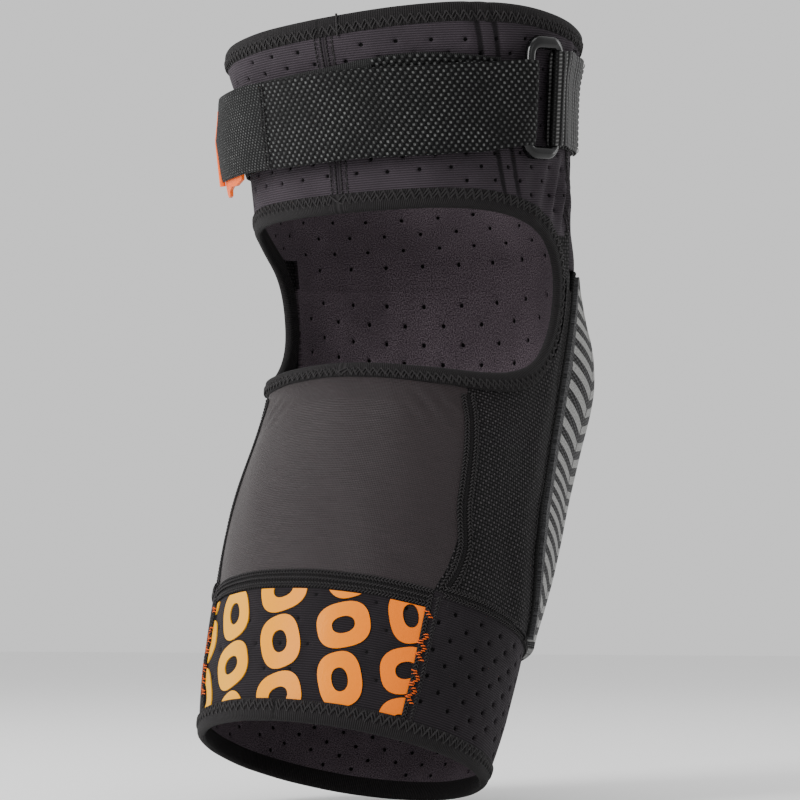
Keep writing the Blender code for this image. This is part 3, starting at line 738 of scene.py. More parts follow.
def elastic(name, low, high, along_x=True, period=0.85):
    """Folded elastic tape with fine ribs across it."""
    look = Look(name, 0.75, sheen=0.02, specular=0.1)
    ribs = look.wave(look.x if along_x else look.y, period)
    cross = look.noise(1.2, 3.0, (0.4, 1.6))
    share = look.plus(look.ease(ribs, -1, 1, 0, 0.5), look.times(cross, 0.5))
    height = look.plus(look.times(ribs, 0.5), cross)
    return look.done(look.mix(share, low, high), height, 0.2)


def dotted_webbing(name, low, high, column=1.5, row=1.6, slant=0.18, depth=0.3):
    """Coarse elastic webbing: staggered raised floats over black gaps, the floats painted pale grey as
    painted highlight.
    """
    look = Look(name, 0.6, specular=0.1)
    leaned = look.math("MULTIPLY_ADD", look.y, slant, look.x)
    floats = look.times(look.wave(leaned, 2 * column), look.wave(look.y, 2 * row))
    uneven, patch = look.noise(0.8, 2.0), look.noise(0.045, 2.0)
    height = look.plus(floats, look.times(uneven, 0.4))
    # painted highlight: the raised floats are painted pale grey on the black webbing
    share = look.times(look.ease(floats, 0.15, 0.8), look.ease(uneven, 0.35, 0.65, 0.3, 1.0))
    share = look.times(share, look.ease(patch, 0.3, 0.7, 0.5, 1.0))
    return look.done(look.mix(share, low, high), height, depth)


def corded_webbing(name, low, high, period=3.7, link=1.6):
    """Heavy elastic with cords across it: each cord is a chain of pale links."""
    look = Look(name, 0.5, specular=0.15)
    cord = look.wave(look.x, period)
    chain = look.wave(look.y, link)
    between = look.times(look.wave(look.x, period / 2), look.wave(look.y, link, 1.6))
    height = look.plus(cord, look.times(chain, look.ease(cord, 0.0, 0.8, 0.1, 0.5)))
    share = look.times(look.ease(cord, 0.35, 0.9), look.ease(chain, -0.4, 0.7, 0.25, 1.0))
    share = look.plus(share, look.times(look.ease(between, 0.4, 0.9), 0.16))
    return look.done(look.mix(share, low, high), height, 0.42)


def basket_weave(name, low, high, cell=1.35):
    """Coarse basket weave: cells that lie over and under by turns, with painted highlights on the raised
    strands, brighter on one set of floats than the other.
    """
    look = Look(name, 0.62, specular=0.07)
    over = look.times(look.wave(look.x, 2 * cell), look.wave(look.y, 2 * cell))
    strands = look.math("ABSOLUTE", over)
    height = look.plus(look.math("POWER", strands, 0.6), look.times(over, 0.35))
    # painted highlight: raised strands are painted lighter, one float direction more than the other
    lit = look.times(look.ease(strands, 0.1, 0.8), look.ease(over, -0.6, 0.6, 0.35, 1.0))
    grain = look.noise(0.5, 3.0)
    share = look.times(lit, look.ease(grain, 0.3, 0.7, 0.4, 1.0))
    return look.done(look.mix(share, low, high), height, 0.34)


def stretch_knit(name, low, high):
    """Smooth stretch knit with fine cross ribs and a soft sheen."""
    look = Look(name, 0.48, sheen=0.06, specular=0.22, sheen_colour=(1, 0.92, 0.85))
    ribs = look.wave(look.y, 0.8)
    wales = look.wave(look.x, 0.7)
    slub = look.noise(0.9, 3.0, (0.12, 1.6))
    height = look.plus(look.math("MULTIPLY_ADD", wales, 0.25, look.times(ribs, 0.6)), slub)
    share = look.plus(look.ease(ribs, -1, 1, 0, 0.4), look.times(slub, 0.6))
    return look.done(look.mix(share, low, high), height, 0.12)


def chevron_weave(name):
    """Woven cover: pale zigzag bars on a dark open weave, with a plain grey border beside the piping."""
    look = Look(name, 0.62, specular=0.2)
    column, pitch, slope = 22.0, 6.8, 0.34
    side = look.math("ABSOLUTE", look.x)
    fold = look.math("PINGPONG", side, column)
    stripe = look.math("FRACT", look.math("DIVIDE", look.math("MULTIPLY_ADD", fold, -slope, look.y), pitch))
    away = look.math("ABSOLUTE", look.math("SUBTRACT", stripe, 0.5))
    bar = look.ease(away, 0.235, 0.262, 1.0, 0.0)
    spine = look.math("MINIMUM", fold, look.math("SUBTRACT", column, fold))
    bar = look.times(bar, look.ease(spine, 0.25, 0.6))
    border = look.ease(look.math("ABSOLUTE", look.attribute("across")), 0.968, 0.976)
    weave = look.times(look.wave(look.x, 3.4), look.wave(look.y, 1.7))
    fine = look.noise(1.6, 4.0)
    dark = look.mix(look.ease(weave, 0.0, 0.7), (0.001, 0.001, 0.0011), (0.04, 0.04, 0.041))
    pale = look.mix(look.ease(fine, 0.3, 0.7), (0.125, 0.125, 0.122), (0.27, 0.27, 0.263))
    grey = look.mix(look.ease(fine, 0.3, 0.7), (0.010, 0.010, 0.0105), (0.055, 0.055, 0.057))
    colour = look.mix(border, look.mix(bar, dark, pale), grey)
    rough = look.times(weave, look.ease(bar, 0, 1, 0.8, 0.15))
    height = look.plus(look.times(bar, 0.7), look.math("MULTIPLY_ADD", fine, 0.5, rough))
    return look.done(colour, height, 0.3)


def plain(name, low, high, roughness, grain=0.8, depth=0.06, specular=0.5, sheen=0.0, coat=0.0):
    """Moulded or printed surface with slight colour and surface variation."""
    look = Look(name, roughness, sheen=sheen, specular=specular)
    look.shader.inputs["Coat Weight"].default_value = coat
    look.shader.inputs["Coat Roughness"].default_value = 0.12
    fine = look.noise(grain, 3.0)
    broad = look.noise(0.06, 2.0)
    rough = look.ease(broad, 0.3, 0.7, roughness * 0.8, min(1.0, roughness * 1.25))
    return look.done(look.mix(look.ease(fine, 0.3, 0.7), low, high), fine, depth, rough)


def thread_look(name, low, high):
    """Spun thread: fine twist along each stitch."""
    look = Look(name, 0.6, specular=0.2)
    twist = look.wave(look.plus(look.x, look.y), 0.5)
    return look.done(look.mix(look.ease(twist, -1, 1), low, high), twist, 0.08)


def printed_orange(name):
    """Silicone print with a painted light gradient across it: yellower towards one side and deeper orange
    towards the other, with a satin film on top.
    """
    look = Look(name, 0.38, specular=0.1)
    # painted light: the print shifts from yellow-orange to deep orange across the band, standing in for light
    # falling across it
    painted_light_gradient = look.ease(look.x, -60, 60)
    colour = look.mix(painted_light_gradient, (0.66, 0.31, 0.0), (0.66, 0.135, 0.0))
    fine = look.noise(0.5, 3.0)
    return look.done(colour, fine, 0.12)


# ---------------------------------------------------------------- riding on the frame


def settle(slot, body, *pieces, nodes=()):
    """Hides the CAD nodes that the pieces replace, then hangs each piece under the empty of a body, or bakes
    its placement into its points for body None. slot is not used.
    """
    if nodes:
        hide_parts(*nodes)
    for piece in pieces:
        if body:
            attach(piece, body)
        else:
            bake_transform(piece)


# ---------------------------------------------------------------- sleeve


def make_looks():
    black = (0.002, 0.0019, 0.002)
    return {
        "cuff": ribbed_neoprene(
            "perforated_neoprene", (0.009, 0.0072, 0.0088), (0.042, 0.034, 0.041), tucks=True
        ),
        "lower": ribbed_neoprene("lower_neoprene", (0.0028, 0.0023, 0.0028), (0.0165, 0.0135, 0.016)),
        "front": ribbed_neoprene("neoprene", (0.006, 0.005, 0.006), (0.026, 0.021, 0.025), 1.1),
        "liner": brushed_knit("liner", (0.017, 0.0132, 0.0162), (0.115, 0.091, 0.106)),
        "elastic": elastic("elastic", (0.0012, 0.0011, 0.0012), (0.0165, 0.0148, 0.0155)),
        "lycra": stretch_knit("stretch_knit", (0.003, 0.0021, 0.0025), (0.0212, 0.0140, 0.0160)),
        "side": basket_weave("ballistic", (0.0008, 0.0008, 0.0009), (0.05, 0.046, 0.048), 1.45),
        "webbing": dotted_webbing("webbing", (0.0012, 0.0012, 0.0013), (0.085, 0.087, 0.085)),
        "tape": corded_webbing("tape_webbing", (0.001, 0.001, 0.0011), (0.12, 0.12, 0.118)),
        "first": elastic("strap_elastic", black, (0.024, 0.024, 0.024)),
        "hook_end": dotted_webbing(
            "hook_end", (0.0025, 0.0025, 0.0027), (0.095, 0.097, 0.095), 1.05, 1.1, 0.5
        ),
        "hook": basket_weave("hook", (0.002, 0.002, 0.002), (0.015, 0.015, 0.015), 0.8),
        "seam": elastic("seam_tape", black, (0.011, 0.010, 0.0105)),
        "ribbed_seam": ribbed_neoprene("seam_neoprene", (0.005, 0.0042, 0.005), (0.028, 0.023, 0.027)),
        "thread": thread_look("thread", (0.004, 0.004, 0.004), (0.052, 0.049, 0.048)),
        "dark_thread": thread_look("dark_thread", (0.0015, 0.0015, 0.0015), (0.030, 0.027, 0.028)),
        "orange_thread": thread_look("orange_thread", (0.45, 0.05, 0.0), (0.95, 0.16, 0.01)),
        "orange": plain("tab_orange", (0.66, 0.085, 0.0), (0.76, 0.11, 0.0), 0.42, specular=0.2),
        "print": printed_orange("print_orange"),
        "ring": plain("ring_plastic", black, (0.003, 0.003, 0.0033), 0.17, 0.5, 0.02, specular=0.3),
        "silicone": plain("silicone", (0.018, 0.018, 0.019), (0.03, 0.03, 0.032), 0.35, specular=0.3),
        "cover": chevron_weave("cover"),
        "piping": elastic("piping", (0.001, 0.001, 0.001), (0.007, 0.007, 0.007), True, 1.3),
    }


def cuff_outline(first, last):
    """Outline of a thigh cuff panel between two angles, from the cut-out or the knee to the top binding."""
    angles = spread(first, last, 3)
    foot = np.maximum(window(angles, True, BINDING - 0.9), CUFF_CORNER)
    low = list(zip(angles, foot))
    high = list(zip(angles[::-1], top_line(angles[::-1]) + 0.8))
    return low + high


def front_lift(around, along):
    """Rise of the thigh's front panel to its seam with the cover."""
    return 1.7 * smooth(52, 35, along) * smooth(100, 108, abs(from_back(around)))


def build_thigh(looks):
    for side, first, last in (("left", -CUFF_SIDE, BACK_SEAM), ("right", BACK_SEAM, CUFF_SIDE)):
        outline = cuff_outline(first, last)
        holes = punch(outline, 11.0, 5.7, 3.4, 2.0)
        made = cloth_panel(
            f"thigh_cuff_{side}_cloth", outline, 0, SLEEVE, looks["cuff"], holes, 0.85, 2.6,
            lining=looks["liner"],
        )
        settle("perforated_neoprene", "thigh_section", made, nodes=[f"thigh_cuff_{side}"])
    angles = spread(CUFF_SIDE, 360 - CUFF_SIDE, 3)
    outline = [(a, FRONT_FOOT) for a in angles] + [(a, top_line(a) + 0.8) for a in angles[::-1]]
    holes = punch(outline, 14.5, 7.0, 3.2)
    made = cloth_panel(
        "thigh_front_cloth", outline, 0, SLEEVE, looks["front"], holes, 0.9, 2.8,
        shape=front_lift, lining=looks["liner"],
    )
    settle("neoprene", None, made, nodes=["thigh_front_panel"])

    def edge(share, t):
        around = 360 * share
        return around, top_line(around) + BINDING - t, 448.0

    made, sewn = bind("top_binding", edge, looks)
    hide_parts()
    settle("elastic", "thigh_section", made, sewn, nodes=["top_binding"])
    joint = [(6.2, top_line(6) + t, 3.3) for t in (-0.4, 2, 4, 6, 8, 8.9)]
    lap = threads("top_binding_lap", [joint], looks["dark_thread"], 0.5)
    settle("elastic", "thigh_section", lap)

    turns, rows = np.meshgrid(np.linspace(0, 360, 121), spread(102, 118, 2.0))
    made = grid_shell("thigh_grip_tape_look", turns, rows, -1.6, 0.9, looks["silicone"])
    settle("silicone", "thigh_section", made, nodes=["thigh_grip_tape"])

    back = [(BACK_SEAM, v) for v in spread(window(BACK_SEAM, True, BINDING), top_line(BACK_SEAM), 3)]
    pieces = flatlock("back_seam", back, SLEEVE - 0.3, looks, 9.0, LADDER, "ribbed_seam")
    for sign, word in ((1, "right"), (-1, "left")):
        side = [(sign * CUFF_SIDE, v) for v in spread(CUFF_CORNER, top_line(sign * CUFF_SIDE) - 2, 3)]
        pieces += flatlock(
            f"side_seam_{word}", side, SLEEVE - 0.3, looks, 5.0, LADDER[:3:2], "ribbed_seam"
        )
        side = [(sign * 102.0, v) for v in spread(-12, 24, 3)]
        pieces += flatlock(f"gusset_seam_{word}", side, SLEEVE + 0.9, looks, 6.2)
    settle("elastic", None, *pieces)


def window_place(share, t):
    """Place on the cut-out's binding a share of the way round, t in from its free edge."""
    across, up = squared(TAU * share, 2 / SIDE_POWER, 2 / TOP_POWER)
    return across * (WINDOW_TURN + t * TURN_PER_MM), WINDOW_MIDDLE + up * (WINDOW_TALL + t)


def even_window():
    """The binding's shares that are evenly spaced along the cut-out's edge, and that edge's length."""
    shares = np.linspace(0, 1, 1441)
    far = distances(np.stack(window_place(shares, 4.0), 1) * (CLOTH, 1))
    return far / far[-1], shares, far[-1]


def build_window(looks):
    far, shares, length = even_window()

    def edge(share, t):
        return *window_place(float(np.interp(share, far, shares)), t), length

    settle("elastic", None, *bind("cutout_binding", edge, looks), nodes=["cutout_binding"])


def build_shin(looks):
    levels = spread(BAND_TOP, window(0, False, BINDING) + 1, 3)
    side = [(float(calf_seam(v)), v) for v in levels]
    top = [(a, float(window(a, False, BINDING - 0.9))) for a in spread(48, -48, 4)]
    outline = [(-a, v) for a, v in side[::-1]] + side
    outline = [p for p in outline if p[1] < window(p[0], False, BINDING)]
    half = len(outline) // 2
    outline = outline[half:] + top + outline[:half]
    made = cloth_panel("calf_panel_cloth", outline, 0.4, LYCRA, looks["lycra"], step=2.6)
    settle("stretch_knit", "shin_section", made, nodes=["calf_panel"])

    angles = spread(-BAND_HALF, BAND_HALF, 3)
    outline = [(a, CUFF_FOOT - 0.8) for a in angles] + [(a, BAND_TOP) for a in angles[::-1]]
    holes = punch(outline, 11.0, 10.0, 4.0, 3.0)
    made = cloth_panel("calf_band_cloth", outline, 0.2, LYCRA, looks["lower"], holes, 0.75)
    settle("perforated_neoprene", "shin_section", made, nodes=["calf_grip_band"])

    angles = spread(BAND_HALF, 360 - BAND_HALF, 3)
    outline = [(a, CUFF_FOOT - 0.8) for a in angles] + [(a, PANEL_FOOT) for a in angles[::-1]]
    holes = punch(outline, 12.0, 5.3, 3.6)
    made = cloth_panel(
        "lower_cuff_cloth", outline, 0, SLEEVE, looks["lower"], holes, 0.95, lining=looks["liner"]
    )
    settle("perforated_neoprene", "shin_section", made, nodes=["lower_cuff"])

    def edge(share, t):
        return 360 * share, FOOT_LINE + t, 372.0

    settle("elastic", "shin_section", *bind("bottom_binding", edge, looks), nodes=["bottom_binding"])

    levels = spread(PANEL_FOOT, FRONT_FOOT, 3)
    first = np.where(abs(levels - WINDOW_MIDDLE) < WINDOW_TALL + BINDING, window_side(levels, BINDING), 0)
    first = np.maximum(first, np.minimum(piping_at(levels) - 6, CUFF_SIDE - 1))
    outline = list(zip(360 - first, levels)) + list(zip(first, levels))[::-1]
    holes = punch(outline, 14.5, 7.0, 3.2)
    made = cloth_panel("liner_cloth", outline, 0, LINER, looks["liner"], holes, 0.9)
    settle("liner", None, made, nodes=["shin_liner", "knee_liner"])

    pieces = []
    for sign, word in ((-1, "left"), (1, "right")):
        line = [(sign * (a + 0.2 + 4.2 * smooth(-80, -106, v)), v) for a, v in side if v < -31]
        pieces += flatlock(f"calf_seam_{word}", line, 1.55, looks, 8.0)
        line = [(sign * (BAND_HALF + 0.5), v) for v in spread(CUFF_FOOT, BAND_TOP + 2, 3)]
        pieces += flatlock(f"band_seam_{word}", line, 1.9, looks, 6.4)
    line = [(a, BAND_TOP + 1.5) for a in spread(-BAND_HALF - 3, BAND_HALF + 3, 3)]
    pieces += flatlock("band_top_seam", line, 1.5, looks, 8.4, TRIPLE)
    for word, off, first, last in (
        ("panel_foot_seam_left", 2.4, -BAND_HALF - 4, -104),
        ("panel_foot_seam_right", 2.4, BAND_HALF + 4, 104),
        ("cover_foot_seam", 3.0, 104, 256),
    ):
        line = [(a, PANEL_FOOT + 0.5) for a in spread(first, last, 3)]
        pieces += flatlock(word, line, off, looks, 5.0)
    settle("elastic", "shin_section", *pieces)
    build_orange_threads(looks)
    build_prints(looks)


def build_orange_threads(looks):
    """Ends of orange thread in both seams of the grip band, where the print runs under them."""
    strokes = []
    for sign in (-1, 1):
        for low, high in ((-131.5, -129), (-149, -138), (-166, -153)):
            for i, level in enumerate(np.arange(low, high, 0.95)):
                wobble = math.sin(5.1 * i + sign)
                middle = sign * (BAND_HALF + 0.9 * wobble - 0.4)
                lean = 0.9 * math.sin(2.3 * i)
                strokes.append([
                    (middle - 1.1, level - lean * 0.5, 1.9), (middle - 0.4, level, 2.95),
                    (middle + 0.5, level + 0.2, 2.95), (middle + 1.2, level + lean * 0.5, 1.9),
                ])
    made = threads("band_orange_threads", strokes, looks["orange_thread"], 0.24)
    settle("tab_orange", "shin_section", made)


def clip(polygon, low, high):
    """Part of a convex polygon inside a rectangle."""
    for axis in (0, 1):
        for sign, limit in ((1, low[axis]), (-1, -high[axis])):
            kept = []
            for p, q in zip(polygon, np.roll(polygon, -1, axis=0)):
                dp, dq = sign * p[axis] - limit, sign * q[axis] - limit
                if dp >= 0:
                    kept.append(p)
                if (dp >= 0) != (dq >= 0):
                    kept.append(p + (q - p) * dp / (dp - dq))
            polygon = np.array(kept)
            if len(polygon) < 3:
                return None
    return polygon


def ring_outline(middle, size, turn, power=2.6):
    across, up = squared(np.linspace(0, TAU, 44, endpoint=False), 2 / power, 2 / power)
    x, y = across * size[0], up * size[1]
    c, s = math.cos(math.radians(turn)), math.sin(math.radians(turn))
    return np.stack([middle[0] + x * c - y * s, middle[1] + x * s + y * c], 1)


def print_ring(middle, turn, low, high):
    """Flat points and triangles of one printed ring, cut off by the rectangle from low to high."""
    outer = clip(ring_outline(middle, PRINT_SIZE, turn), low, high)
    if outer is None or len(outer) < 6:
        return None
    inner = clip(ring_outline(middle, PRINT_HOLE, turn, 2.2), low, high)
    loops = [even(outer, PRINT_STEP)]
    if inner is not None and len(inner) > 5:
        loops.append(even(inner, PRINT_STEP))
    steps = 2.0 * np.arange(-7, 8)
    grid = middle + np.array([(x, y) for x in steps for y in steps])
    grid = grid[within(loops, grid)]
    for loop in loops:
        grid = grid[away_from(loop, grid) > 0.8]
    links, first = [], 0
    for loop in loops:
        links += loop_links(first, len(loop))
        first += len(loop)
    flat, cells = triangulate(np.concatenate([*loops, grid]), links)
    cells = cells[within(loops, flat[cells].mean(1))]
    return (flat, cells) if len(cells) else None


def build_prints(looks):
    """Grip print on the calf band: plain thick rings, cut off at the seams."""
    low = np.array((-BAND_HALF * CLOTH + 1.6, CUFF_FOOT + 0.6))
    high = np.array((BAND_HALF * CLOTH - 1.6, BAND_TOP - 2.8))
    points, faces, cloth, count = [], [], [], 0
    for row in range(-3, 4):
        for column in range(-4, 5):
            middle = np.array((-3.0 + 26.5 * column - 2.6 * row, -149.5 + 21.5 * row + 8.5 * column))
            made = print_ring(middle, 20 if (row + column) % 2 else -68, low, high)
            if made is None:
                continue
            flat, cells = made
            a, v = flat[:, 0] / CLOTH, flat[:, 1]
            points += [skin(a, v, 1.85), skin(a, v, 1.2)]
            faces += [tuple(i + count for i in f) for f in closed(cells, len(flat))]
            cloth += [flat, flat]
            count += 2 * len(flat)
    made = mesh_piece("band_grip_print", np.concatenate(points), faces, looks["print"], np.concatenate(cloth))
    settle("tab_orange", "shin_section", made)


def side_lift(around, along):
    """Rise of the side panel towards the piping, where it lies over the liner."""
    return SIDE_STEP * smooth(SIDE_STEP_FROM, SIDE_STEP_TO, abs(from_back(around)) - piping_at(along))


def build_sides(looks):
    levels = spread(PANEL_FOOT, CUFF_CORNER + 2, 2.5)
    beside = abs(levels - WINDOW_MIDDLE) < WINDOW_TALL + BINDING
    inner = np.maximum(calf_seam(levels), np.where(beside, window_side(levels, BINDING - 0.9), 0))
    outer = np.where(levels < PIPING_TOP - PIPING_CORNER, piping_at(levels) - 1.0, CUFF_SIDE + 1.0)
    outer = np.maximum(outer, inner + 1)
    for sign, word in ((-1, "left"), (1, "right")):
        around = sign * (inner[:, None] + (outer - inner)[:, None] * np.linspace(0, 1, 23)[None])
        around = around[:, ::sign]
        along = np.repeat(levels[:, None], 23, 1)
        cloth = np.stack([around.ravel() * CLOTH * 1.05, along.ravel()], 1)
        made = grid_shell(
            f"side_panel_{word}_cloth", around, along, 0.4, LYCRA, looks["side"], cloth, side_lift
        )
        settle("ballistic", None, made, nodes=[f"side_panel_{word}", f"side_gusset_{word}"])


# ---------------------------------------------------------------- padded cover


def cover_shape(around, along):
    """Thickness of the padding under the cover: a cap over the knee, tapering down the shin."""
    half = 180 - piping_at(along) - PAD_FROM_PIPING + 2.2
    share = np.minimum(1.0, abs(around % 360 - 180) / half)
    return PAD_EDGE + (pad_rise_at(along) - PAD_EDGE) * (1 - share**3)


def build_cover(looks):
    """The padded knee and shin cover: a closed cushion whose face is swelled by a cloth simulation."""
    levels = spread(COVER_FOOT, COVER_TOP, 2.6)
    shares = np.linspace(-1, 1, 75)
    half = 180 - piping_at(levels) - 1.5
    around = 180 + half[:, None] * shares[None]
    rows, columns = around.shape
    a, v = around.ravel(), np.repeat(levels, columns)
    face = leg(a, v, PAD_BASE + 0.8 + LYCRA + cover_shape(a, v))
    back = leg(a, v, PAD_BASE - 0.2)
    far = np.array([distances(row) for row in face.reshape(rows, columns, 3)])
    across = far - far[:, columns // 2][:, None]
    cloth = np.stack([across.ravel(), v], 1)
    marks = {"across": np.tile(shares, rows)}
    triangles = grid_triangles(rows, columns)
    made = shell("pad_cover_cloth", cloth, triangles, back, face, looks["cover"], cloth, marks)
    swell(made, rows, columns, len(cloth))
    settle("cover", None, made, nodes=["pad_cover", "knee_pad", "shin_pad"])


def swell(piece, rows, columns, count):
    """Cloth simulation of the cover's face, held at its border and at its back."""
    index = np.arange(count)
    row, column = index // columns, index % columns
    edge = (row < 2) | (row >= rows - 2) | (column < 2) | (column >= columns - 2)
    held = piece.vertex_groups.new(name="held")
    held.add(np.r_[index[edge], index + count].tolist(), 1.0, "REPLACE")
    before = np.array([p.co for p in piece.data.vertices])
    cloth = piece.modifiers.new("swell", "CLOTH")
    cloth.settings.quality = 6
    cloth.settings.vertex_group_mass = "held"
    cloth.settings.use_pressure = True
    cloth.settings.uniform_pressure_force = 4.0
    cloth.settings.tension_stiffness = 12
    cloth.settings.compression_stiffness = 6
    cloth.settings.effector_weights.gravity = 0
    cloth.collision_settings.use_collision = False
    cloth.point_cache.frame_start = 1
    cloth.point_cache.frame_end = SWELL_FRAMES
    for number in range(1, SWELL_FRAMES + 1):
        bpy.context.scene.frame_set(number)
    evaluated = piece.evaluated_get(bpy.context.evaluated_depsgraph_get())
    after = np.array([p.co for p in evaluated.data.vertices])
    piece.modifiers.remove(cloth)
    piece.vertex_groups.remove(held)
    move = after - before
    size = np.linalg.norm(move, axis=1)[:, None]
    move *= np.minimum(1.0, SWELL_LIMIT / np.maximum(size, 1e-9))
    piece.data.vertices.foreach_set("co", (before + move).astype(np.float32).ravel())
    piece.data.update()
    bpy.context.scene.frame_set(1)


def build_piping(looks):
    levels = spread(PANEL_FOOT + 1, PIPING_TOP - PIPING_CORNER, 3.0)
    corner = PIPING_TOP - PIPING_CORNER * (1 - np.sin(np.radians([15, 30, 45, 60, 75, 90])))
    side = [(float(piping_at(v)), v) for v in [*levels, *corner]]
    side += [(a, PIPING_TOP) for a in spread(float(piping_at(PIPING_TOP)), 180, 3.0)[1:]]
    route = np.array(side + [(360 - a, v) for a, v in side[-2::-1]])
    a, v = route.T
    path = leg(a, v, PIPING_HEIGHT)
    out, far = out_of_leg(a, v), distances(path)
    made = cord("cover_piping_cord", path, out, PIPING_RADIUS, looks["piping"], far, 0.9)
    settle("elastic", None, made, nodes=["cover_piping"])
    row = []
    for run in (route[2:len(levels) - 1], route[-len(levels) + 1:-2]):
        row += stitch_row(run, 2.4, 1.5, 0, 2.6, 4.1, 0.3)
    settle("elastic", None, threads("piping_stitches", row, looks["dark_thread"], 0.22))


# ---------------------------------------------------------------- strap and ring


def ring_axes():
    """The ring's middle, and its directions up the leg, round it and out of it."""

    def between(turn, rise):
        ends = [leg(RING_AT + k * turn, RING_LEVEL + k * rise, RING_HEIGHT) for k in (1, -1)]
        return ends[0] - ends[1]

    middle = leg(RING_AT, RING_LEVEL, RING_HEIGHT)
    up = between(0, RING_TALL / 3)
    up /= np.linalg.norm(up)
    out = np.cross(between(4, 0), up)
    out /= np.linalg.norm(out)
    return middle, up, np.cross(up, out), out


def bar_rows(side, radius, thick, start, end, half, shift):
    """Rows of webbing round one bar of the ring, between two angles."""
    middle, up, round_leg, out = ring_axes()
    bar = middle + round_leg * side * (RING_WIDE / 2 - RING_BAR)
    line = bar + up * (shift + half * ACROSS)[:, None]
    inner, outer = (radius - TAPER * thick)[:, None], (radius + TAPER * thick)[:, None]
    rows = []
    for turn in np.radians(spread(start, end, 15)):
        away = round_leg * math.cos(turn) + out * math.sin(turn)
        rows.append((line + away * inner, line + away * outer))
    return rows


def bar_turn():
    return math.degrees((RING_WIDE / 2 - RING_BAR) / (float(half_width(RING_LEVEL)) + RING_HEIGHT))


def tail_height(around, level):
    share = max(0.0, (TAIL_LIFT_FROM - around) / (TAIL_LIFT_FROM - HOOK_TO))
    upper = np.clip((level - STRAP_LEVEL) / STRAP_HALF, 0, 1)
    return TAIL_HEIGHT + TAIL_LIFT * share**1.4 * (1 - 0.6 * upper)


def tail_row(around, height, thick, reach=1.0):
    """Row of the strap's tail, a height above its inner side, over a share of its width."""
    levels = STRAP_LEVEL + STRAP_HALF * reach * ACROSS + 0.25 * math.sin(around / 6.5)
    middle = tail_height(around, levels) + height + 0.15 * np.sin(around / 9 + levels / 7)
    return leg(around, levels, middle - TAPER * thick), leg(around, levels, middle + TAPER * thick)


def build_ring(looks):
    """Moulded slide: an outer frame with soft corners, thicker than wide at its two bars."""
    middle, up, round_leg, out = ring_axes()
    corner, sides = 5.2, 16
    tall, wide = RING_TALL / 2 - RING_BAR, RING_WIDE / 2 - RING_BAR
    path, girth = [], []
    for turn, (u, w) in enumerate(((1, 1), (-1, 1), (-1, -1), (1, -1))):
        for a in np.radians(spread(90 * turn, 90 * turn + 90, 11.25)):
            x = u * (wide - corner) + corner * math.cos(a)
            z = w * (tall - corner) + corner * math.sin(a)
            path.append(middle + round_leg * x + up * z)
            girth.append(1.06 + 0.34 * abs(math.sin(a)) ** 3)
    path = np.array(path)
    ahead = np.roll(path, -1, 0) - np.roll(path, 1, 0)
    ahead /= np.linalg.norm(ahead, axis=1)[:, None]
    side = np.cross(out, ahead)
    c, s = squared(np.linspace(0, TAU, sides, endpoint=False), 0.8, 0.8)
    profile = side[:, None] * c[None, :, None] + out * s[None, :, None]
    rings = path[:, None] + profile * (RING_BAR * np.array(girth))[:, None, None]
    far = np.arange(len(path)) * 2.0
    cloth = np.stack([np.repeat(far, sides), np.tile(np.arange(sides) * 0.8, len(path))], 1)
    faces = sweep(rings, closed_path=True)
    made = mesh_piece("strap_ring_moulded", rings.reshape(-1, 3), faces, looks["ring"], cloth)
    settle("ring_plastic", "ring", made, nodes=["strap_ring"])


def build_tape(looks):
    """Webbing that holds the ring: round its bar and back onto itself, sewn to the front panel."""
    radius = RING_BAR + BAR_PLAY + TAPE / 2
    under = SLEEVE + STRAP_GAP + TAPE / 2
    over = under + TAPE + 0.1
    first = RING_AT + bar_turn()
    plies = []
    for ply, at_bar in ((under, RING_HEIGHT - radius), (over, RING_HEIGHT + radius)):
        rows = []
        for around in spread(first + 4, TAPE_END, 2.5):
            height = ply + (at_bar - ply) * smooth(first + RAMP_TURN, first, around)
            rows.append(flat_row(around, RING_LEVEL, TAPE_HALF, height, TAPE))
        plies.append(rows)
    loop = bar_rows(1, radius, TAPE, -90, -270, TAPE_HALF, 0)
    inner = [(outer, inner) for inner, outer in plies[0][::-1]]
    made = ribbon("ring_tape_webbing", inner + loop + plies[1], looks["tape"])
    rows = []
    for at in (TAPE_END - 2.5, TAPE_END - 8.5):
        line = [(at, v) for v in spread(RING_LEVEL - TAPE_HALF + 1.5, RING_LEVEL + TAPE_HALF - 1.5, 2)]
        rows += stitch_row(line, 2.3, 1.9, 0, 0, over + TAPE / 2, 0.25)
    sewn = threads("ring_tape_stitches", rows, looks["dark_thread"], 0.24, leg)
    settle("webbing", "thigh_section", made, sewn, nodes=["ring_tape"])


